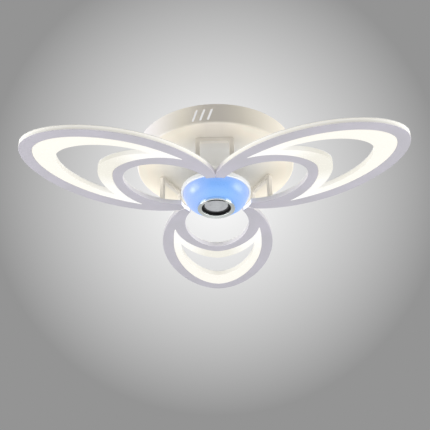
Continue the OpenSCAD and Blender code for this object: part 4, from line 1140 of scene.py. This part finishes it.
def terminalBlock():
    low, high, (midX, midY, midZ) = blockLow, blockHigh, blockMid
    pitch, half = terminal["pitch"], terminal["grooveHalf"]
    piece = addBox("terminalBlock", low, high)
    openPiece(piece)
    pickFaces(piece, lambda place, normal: normal.z > mostly)
    bpy.ops.transform.resize(value=(1, terminal["topShare"], 1), center_override=(midX, midY, high.z))
    closePiece()
    lowerHalf = addBox("lower", low, (high.x, high.y, midZ))
    modify(piece, "BOOLEAN", object=lowerHalf, operation="UNION", solver="EXACT")
    bpy.data.objects.remove(lowerHalf)
    entries = []
    for step in range(terminal["poles"]):
        x = midX + (step - (terminal["poles"] - 1) / 2) * pitch
        entries.append(shift(x, midY, midZ - terminal["entryDrop"]) @ turn(90, "X"))
        cutWith(piece, addRod("well", terminal["well"] / 2, midZ, high.z + 1, sides=24, place=(x, midY)))
        if step:  # a groove where a pole can be cut off
            start, end = x - pitch / 2 - half, x - pitch / 2 + half
            cutWith(piece, addBox("groove", (start, low.y - 1, midZ + terminal["grooveLift"]),
                                  (end, high.y + 1, high.z + 1)))
    entry = addRod("entry", terminal["entry"] / 2, -20, 20, sides=24)
    cutWith(piece, joined("entries", copiesOf(entry, "entry", entries)))
    roundEdges(piece, terminal["edge"], segments=2)
    return piece


def clampScrews():
    low, high = corners("terminal_screws")
    middle, reach, half = (low + high) / 2, terminal["screwD"], terminal["slotHalf"]
    screw = addRod("screw", terminal["screwD"] / 2, low.z, high.z, sides=28, place=middle[:2])
    bevelEdges(screw, terminal["screwEdge"], atTop(high.z), segments=2)
    cutWith(screw, addBox("slot", (middle.x - reach, middle.y - half, high.z - terminal["slotDepth"]),
                          (middle.x + reach, middle.y + half, high.z + 1)))
    places = [shift((step - 1) * terminal["pitch"], 0, 0) for step in range(terminal["poles"])]
    return joined("clampScrews", copiesOf(screw, "clamp", places))


dress(terminalBlock(), "terminalBlock", [ivoryPolyamide], stands=["terminal_block"])
dress(clampScrews(), "clampScrews", [turnedBrass], stands=["terminal_screws"])
print("terminals modelled")

# Amplifier: a green board on four posts, with its radio module, capacitors, coil and plug sockets.
# Places on the board are counted from its middle, and those on the module from its low corner.
board = {"corner": 2, "hole": 3.5, "overlap": 0.01, "nutWidth": 5.5, "nutT": 2.4, "nutBore": 3,
         "coilLow": (3, -9), "coilHigh": (14, 2), "coilH": 4.5, "coilCorner": 2, "coilEdge": 0.4,
         "chips": 12, "chipsInRow": 6, "chipStart": (-3, -12), "chipPitch": (3.4, 3.2),
         "chipHalf": (1, 0.6), "chipH": 0.7}
module = {"plateT": 0.8, "shieldX": (2, 14), "shieldInset": 1, "shieldEdge": 0.4, "ventR": 0.45,
          "ventDeep": 0.3, "ventsX": (4, 6, 8, 10, 12), "ventsY": (4, 8, 12), "combY": range(3, 14, 2),
          "combX": (3, 0.6), "combW": 0.8, "combT": 0.12}
can = {"diameter": 8, "height": 9, "rim": 0.5, "sunk": 0.25, "edge": 0.25, "spots": ((3, 8), (13, 8)),
       "scoreReach": 2.6, "scoreHalf": 0.2, "scoreDeep": 0.5, "beadZ": (1.2, 1.9), "beadDeep": 0.35}
socket = {"startsY": (-10, 2), "x": (20, 26), "length": 9, "height": 6, "wall": 0.8, "floor": 1.5,
          "pins": 4, "pinX": 23, "firstPin": 1.5, "pinPitch": 2, "pinHalf": 0.3, "pinZ": (1.4, 5.2)}
boardX, boardY = ((boardLow + boardHigh) / 2)[:2]
boardTop = boardHigh.z


def amplifierBoard():
    piece = addBox("amplifierBoard", boardLow, boardHigh)
    bevelEdges(piece, board["corner"], upright, segments=5)
    for spot in boardStuds:
        cutWith(piece, addRod("hole", board["hole"] / 2, boardLow.z - 1, boardTop + 1, sides=24, place=spot))
    return piece


def radioModule():
    low, high = corners("bluetooth_module")
    plateZ = low.z + module["plateT"]
    plate = addBox("plate", low, (high.x, high.y, plateZ))
    start, end = module["shieldX"]
    shield = addBox("shield", (low.x + start, low.y + module["shieldInset"], plateZ),
                    (low.x + end, high.y - module["shieldInset"], high.z))
    roundEdges(shield, module["shieldEdge"], segments=3)
    for x in module["ventsX"]:  # the holes that let the shield's solder be seen
        for y in module["ventsY"]:
            floor, spot = high.z - module["ventDeep"], (low.x + x, low.y + y)
            cutWith(shield, addRod("vent", module["ventR"], floor, high.z + 1, sides=12, place=spot))
    pieces = [plate, shield]
    start, end = (high.x - x for x in module["combX"])
    for y in module["combY"]:  # the printed aerial's comb
        pieces.append(addBox("aerial", (start, low.y + y, plateZ - board["overlap"]),
                             (end, low.y + y + module["combW"], plateZ + module["combT"])))
    return joined("radioModule", pieces)


def capacitor(x, y):
    radius, top = can["diameter"] / 2, boardTop + can["height"]
    reach, half, floor = can["scoreReach"], can["scoreHalf"], top - can["scoreDeep"]
    piece = addRod("can", radius, boardTop, top, sides=40, place=(x, y))
    hollow(piece, can["rim"], can["sunk"])
    roundEdges(piece, can["edge"], segments=2)
    for wide, deep in ((reach, half), (half, reach)):  # the cross scored in its top
        cutWith(piece, addBox("score", (x - wide, y - deep, floor), (x + wide, y + deep, top + 1)))
    beadLow, beadHigh = (boardTop + z for z in can["beadZ"])
    bead = addRod("bead", radius + 1, beadLow, beadHigh, sides=40, place=(x, y))
    cutWith(bead, addRod("core", radius - can["beadDeep"], boardTop, top, sides=40, place=(x, y)))
    cutWith(piece, bead)
    return piece


def plugSocket(y):
    start, end = (boardX + x for x in socket["x"])
    piece = addBox("socket", (start, y, boardTop), (end, y + socket["length"], boardTop + socket["height"]))
    hollow(piece, socket["wall"], socket["height"] - socket["floor"])
    return piece


def boardParts():
    (startX, startY), (endX, endY) = board["coilLow"], board["coilHigh"]
    coil = addBox("coil", (boardX + startX, boardY + startY, boardTop),
                  (boardX + endX, boardY + endY, boardTop + board["coilH"]))
    bevelEdges(coil, board["coilCorner"], upright, segments=5)
    roundEdges(coil, board["coilEdge"], segments=2)
    pieces = [capacitor(boardX + x, boardY + y) for x, y in can["spots"]] + [coil]
    pieces += [plugSocket(boardY + y) for y in socket["startsY"]]
    (firstX, firstY), (pitchX, pitchY) = board["chipStart"], board["chipPitch"]
    (halfX, halfY), chipTop = board["chipHalf"], boardTop + board["chipH"]
    for step in range(board["chips"]):  # small chips in two rows in front of the coil
        x = boardX + firstX + (step % board["chipsInRow"]) * pitchX
        y = boardY + firstY - (step // board["chipsInRow"]) * pitchY
        pieces.append(addBox("chip", (x - halfX, y - halfY, boardTop), (x + halfX, y + halfY, chipTop)))
    return joined("boardParts", pieces)


def socketPins():
    x, half = boardX + socket["pinX"], socket["pinHalf"]
    low, high = (boardTop + z for z in socket["pinZ"])
    pins = []
    for start in socket["startsY"]:
        for step in range(socket["pins"]):
            y = boardY + start + socket["firstPin"] + step * socket["pinPitch"]
            pins.append(addBox("pin", (x - half, y - half, low), (x + half, y + half, high)))
    return joined("socketPins", pins)


dress(amplifierBoard(), "amplifierBoard", [greenSolderMask], stands=["audio_board"])
dress(radioModule(), "radioModule", [zincPlate], stands=["bluetooth_module"])
dress(boardParts(), "boardParts", [blackEpoxy], stands=["audio_components"])
dress(socketPins(), "socketPins", [turnedBrass])
nutPlaces = [shift(*spot, boardTop) for spot in boardStuds]
nutPlaces += [shift(*spot, insideZ + driver["earT"]) for spot in driverStuds]
screwGroup("studNuts", hexNut(board["nutWidth"], board["nutT"], board["nutBore"]), nutPlaces, ["stud_nuts"])
print("amplifier modelled")

# Camera: below the light and in front of it, as in the photograph
shot = {"distance": 1.4186, "below": 32.014, "heading": 0.472, "roll": -1.146, "lens": 75.5, "sensor": 36,
        "clipEnd": 50, "imageSide": 430, "centerX": 216.171, "centerY": 198.207, "middle": 215}


def shotCamera():
    data = bpy.data.cameras.new("camera")
    data.sensor_width, data.lens, data.clip_end = shot["sensor"], shot["lens"], shot["clipEnd"]
    camera = bpy.data.objects.new("camera", data)
    bpy.context.scene.collection.objects.link(camera)
    bpy.context.scene.camera = camera
    below, lean = math.radians(shot["below"]), math.radians(shot["roll"])
    away = turn(shot["heading"]).to_3x3() @ Vector((0, -math.cos(below), -math.sin(below)))
    right = (-away).cross(Vector((0, 0, 1))).normalized()
    up = right.cross(-away)
    leanRight = right * math.cos(lean) + up * math.sin(lean)
    leanUp = up * math.cos(lean) - right * math.sin(lean)
    facing = Matrix((leanRight, leanUp, away)).transposed()
    focal = shot["lens"] / shot["sensor"] * shot["imageSide"]
    ahead = Vector((0, 0, -1))
    offset = ahead + Vector((shot["centerX"] - shot["middle"], shot["middle"] - shot["centerY"], 0)) / focal
    aim = offset.rotation_difference(ahead).to_matrix()
    target = Vector((0, 0, faceZ * mm))
    camera.matrix_world = Matrix.Translation(target + away * shot["distance"]) @ (facing @ aim).to_4x4()
    return target, away


target, away = shotCamera()

# Stage: a pale floor far below, a soft grey backdrop beyond the light, which is darker towards its
# edge, and a black card low behind the light, which only the chrome's near edge mirrors
stage = {"floorZ": -2.2, "floorSize": 14, "floorColor": "#d9d9d9", "floorCloud": 400, "floorGrain": 40,
         "floorRelief": 0.1, "floorRoughness": (0.7, 0.8), "floorGlow": 0.45, "backdropFar": 3.0,
         "backdropR": 1.7, "center": "#ffffff", "edge": "#949494", "edgeR": 1.12, "centerRise": 0.05,
         "worldColor": "#ffffff", "worldStrength": 0.25, "seenColor": "#dcdcdc", "cardColor": "#101012",
         "cardLow": (-0.35, 2.0, -0.47), "cardHigh": (0.35, 2.01, -0.11)}


def seenRay(tree):  # 1 for rays that show what stands behind, in view, in metal or through glass
    path = addNode(tree, "LightPath").outputs
    seen = addNode(tree, "Math", path["Is Camera Ray"], path["Is Glossy Ray"], operation="MAXIMUM")
    return addNode(tree, "Math", seen, path["Is Transmission Ray"], operation="MAXIMUM")


def floorPaper():
    color = stage["floorColor"]
    look = {"color": color, "shade": color, "cloud": stage["floorCloud"], "grain": stage["floorGrain"],
            "relief": stage["floorRelief"], "roughness": stage["floorRoughness"]}
    glow = {"Emission Color": rgba(color), "Emission Strength": stage["floorGlow"]}
    return surface("floorPaper", look, glow)


def backdropPaper():
    made = bpy.data.materials.new("backdropPaper")
    tree = emptyTree(made)
    place = addNode(tree, "TexCoord").outputs["Object"]
    reach = addNode(tree, "VectorMath", place, operation="LENGTH")
    share = addNode(tree, "MapRange", reach, 0.0, stage["edgeR"], 0.0, 1.0)
    color = addNode(tree, "Mix", share, rgba(stage["center"]), rgba(stage["edge"]), data_type="RGBA")
    glow = addNode(tree, "Emission", color, 1.0)
    clear = addNode(tree, "BsdfTransparent")
    addNode(tree, "OutputMaterial", addNode(tree, "MixShader", seenRay(tree), clear, glow))
    return made


def mirroredBlack():
    made = bpy.data.materials.new("mirroredBlack")
    tree = emptyTree(made)
    mirrored = addNode(tree, "LightPath").outputs["Is Glossy Ray"]
    clear = addNode(tree, "BsdfTransparent")
    dark = addNode(tree, "BsdfDiffuse", rgba(stage["cardColor"]))
    addNode(tree, "OutputMaterial", addNode(tree, "MixShader", mirrored, clear, dark))
    return made


def buildStage():
    bpy.ops.object.select_all(action="DESELECT")
    bpy.ops.mesh.primitive_plane_add(size=stage["floorSize"], location=(0, 0, stage["floorZ"]))
    floor = bpy.context.object
    floor.name = "floor"
    floor.data.materials.append(floorPaper())
    bpy.ops.mesh.primitive_circle_add(vertices=96, radius=stage["backdropR"], fill_type="NGON")
    backdrop = bpy.context.object
    backdrop.name = "backdrop"
    backdrop.rotation_mode = "QUATERNION"
    backdrop.rotation_quaternion = away.to_track_quat("Z", "Y")
    up = backdrop.rotation_quaternion @ Vector((0, 1, 0))
    backdrop.location = target - away * stage["backdropFar"] + up * stage["centerRise"]
    backdrop.data.materials.append(backdropPaper())
    card = addBox("blackCard", stage["cardLow"], stage["cardHigh"])
    card.data.materials.append(mirroredBlack())


def buildWorld():
    world = bpy.data.worlds.new("softStudio")
    bpy.context.scene.world = world
    tree = emptyTree(world)
    light = addNode(tree, "Background", rgba(stage["worldColor"]), stage["worldStrength"])
    seen = addNode(tree, "Background", rgba(stage["seenColor"]), 1.0)
    addNode(tree, "OutputWorld", addNode(tree, "MixShader", seenRay(tree), light, seen))


# Soft boxes: where each stands in metres, its side in metres and its power in watts
softBoxes = {"below": ((0.0, -0.2, -1.95), 3.0, 22), "left": ((-2.0, -0.3, -0.4), 1.4, 34),
             "right": ((2.0, -0.3, -0.4), 1.4, 34), "above": ((0.0, 0.8, 2.0), 1.6, 22)}


def buildLights():
    for name, (place, side, power) in softBoxes.items():
        data = bpy.data.lights.new(name, "AREA")
        data.shape, data.size, data.energy = "SQUARE", side, power
        box = bpy.data.objects.new(name, data)
        bpy.context.scene.collection.objects.link(box)
        box.location = place
        box.rotation_mode = "QUATERNION"
        box.rotation_quaternion = (Vector(place) - target).to_track_quat("Z", "Y")


buildStage()
buildWorld()
buildLights()
bpy.context.scene.view_settings.view_transform = "Standard"
print("stage, lights and camera ready")
